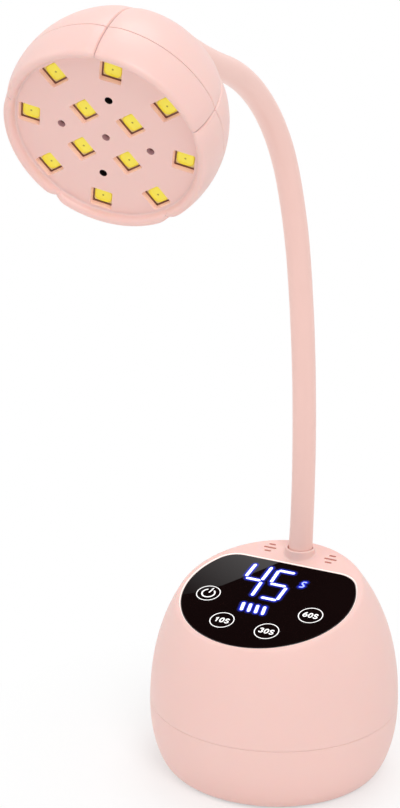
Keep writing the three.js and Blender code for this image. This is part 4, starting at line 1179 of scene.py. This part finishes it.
def mixed(share, first, second, output):
    """Mixes two shaders and sends the mix to the tree's output."""
    tree = share.id_data
    mix = add_node(tree, "MixShader")
    wire(share, "Value", mix, "Fac")
    wire(first, 0, mix, 1)
    wire(second, 0, mix, 2)
    wire(mix, "Shader", tree.nodes[output], "Surface")


def white_world():
    world = bpy.data.worlds.new("studio")
    bpy.context.scene.world = world
    world.use_nodes = True
    tree = world.node_tree
    plain = tree.nodes["Background"]
    set_inputs(plain, Color=WHITE, Strength=WORLD_LEVEL)
    mixed(seen_ray(tree), plain, add_node(tree, "Background", Color=WHITE), "World Output")


def pale_floor():
    """A pale floor that keeps the lamp's shadow near it and fades to the white background."""
    mesh = bpy.data.meshes.new("floor")
    corners = [(x * FLOOR_HALF, y * FLOOR_HALF, -FLOOR_DROP) for x, y in ((-1, -1), (1, -1), (1, 1), (-1, 1))]
    mesh.from_pydata(corners, [], [(0, 1, 2, 3)])
    material, tree, shader = node_material("pale_floor")
    set_inputs(shader, Roughness=0.9, Specular_IOR_Level=0.1, Base_Color=(*FLOOR_COLOUR, 1))
    length = add_node(tree, "VectorMath", "LENGTH")
    near, far = FLOOR_FADE
    fade = add_node(tree, "MapRange", From_Min=near, From_Max=far, To_Min=FLOOR_WHITE)
    share = add_node(tree, "Math", "MULTIPLY")
    wire(add_node(tree, "TexCoord"), "Object", length, 0)
    wire(length, "Value", fade, "Value")
    wire(fade, "Result", share, 0)
    wire(seen_ray(tree), "Value", share, 1)
    mixed(share, shader, add_node(tree, "Emission", Color=WHITE), "Material Output")
    mesh.materials.append(material)
    floor = linked("floor", mesh)


def card_spot(mirrored, x, y):
    """Where the ray from the mirrored camera through a spot of the window crosses a card."""
    return mirrored + (SLANTED_TOP @ Vector((x * MM, y * MM, 0)) - mirrored) * CARD_DISTANCE


def mirror_card(name, camera, outline, colour):
    """A card that only the window mirrors. The outline is where the photograph's camera sees it there."""
    normal = SLANTED_TOP.to_3x3() @ Vector((0, 0, 1))
    eye = camera.matrix_world.translation
    mirrored = eye - 2 * (eye - SLANTED_TOP.translation).dot(normal) * normal
    mesh = bpy.data.meshes.new(name)
    mesh.from_pydata([card_spot(mirrored, *spot) for spot in outline], [], [range(len(outline))])
    mesh.materials.append(colour(mirrored))
    card = linked(name, mesh)
    card.visible_camera = card.visible_diffuse = card.visible_shadow = card.visible_transmission = False


def card_black(_):
    material, _, shader = node_material("card_black")
    set_inputs(shader, Base_Color=(0, 0, 0, 1), Specular_IOR_Level=0)
    return material


def card_sheen(mirrored):
    """Grey that fades towards the front of the window."""
    material, tree, _ = node_material("card_sheen")
    start, end = [card_spot(mirrored, x, y) for x, y in (SHEEN_FROM, SHEEN_TO)]
    along = add_node(tree, "VectorMath", "DOT_PRODUCT")
    along.inputs[1].default_value = end - start
    dim, bright = SHEEN_LEVELS
    level = add_node(tree, "MapRange", From_Min=start.dot(end - start), From_Max=end.dot(end - start),
                     To_Min=dim, To_Max=bright)
    glow = add_node(tree, "Emission")
    wire(add_node(tree, "TexCoord"), "Object", along, 0)
    wire(along, "Value", level, "Value")
    wire(level, "Result", glow, "Strength")
    wire(glow, "Emission", tree.nodes["Material Output"], "Surface")
    return material


def clipped(outline, window):
    """The part of an outline inside the window, whose own outline bulges everywhere and runs to the left."""
    for a, b in zip(window, np.roll(window, -1, 0)):
        inside = [(b[0] - a[0]) * (y - a[1]) - (b[1] - a[1]) * (x - a[0]) for x, y in outline]
        kept = []
        for k, (spot, depth) in enumerate(zip(outline, inside)):
            last, last_depth = outline[k - 1], inside[k - 1]
            if (depth >= 0) != (last_depth >= 0):
                share = last_depth / (last_depth - depth)
                kept.append((last[0] + (spot[0] - last[0]) * share, last[1] + (spot[1] - last[1]) * share))
            if depth >= 0:
                kept.append(spot)
        outline = kept
    return outline


def window_cards(camera):
    """The grey wedge at the window's left and the black over the rest of it."""
    low, high = WEDGE_EDGE[0], WEDGE_EDGE[-1]
    black = [*WEDGE_EDGE, (CARD_REACH, high[1]), (CARD_REACH, -CARD_REACH), (low[0], -CARD_REACH)]
    sheen = [*WEDGE_EDGE, (low[0], high[1])]
    window = window_outline(CARD_GROWTH)
    mirror_card("black_card", camera, clipped(black, window), card_black)
    mirror_card("sheen_card", camera, clipped(sheen, window), card_sheen)


HEAD = head_frame()
NECK_LINE = neck_line()

upper_shell()
lower_cover()
foot_pad()
display_window()
display_figures()
key_signs()
neck_collar()
neck_sleeve()
head_back_shell()
head_front_ring()
lamp_plate()
for lamp_place in lamp_places():
    lamp(*lamp_place)
dress_carried()

bpy.context.scene.view_settings.view_transform = "Standard"
white_world()
pale_floor()
window_cards(photo_camera())
for lamp_values in LAMPS:
    soft_lamp(*lamp_values)
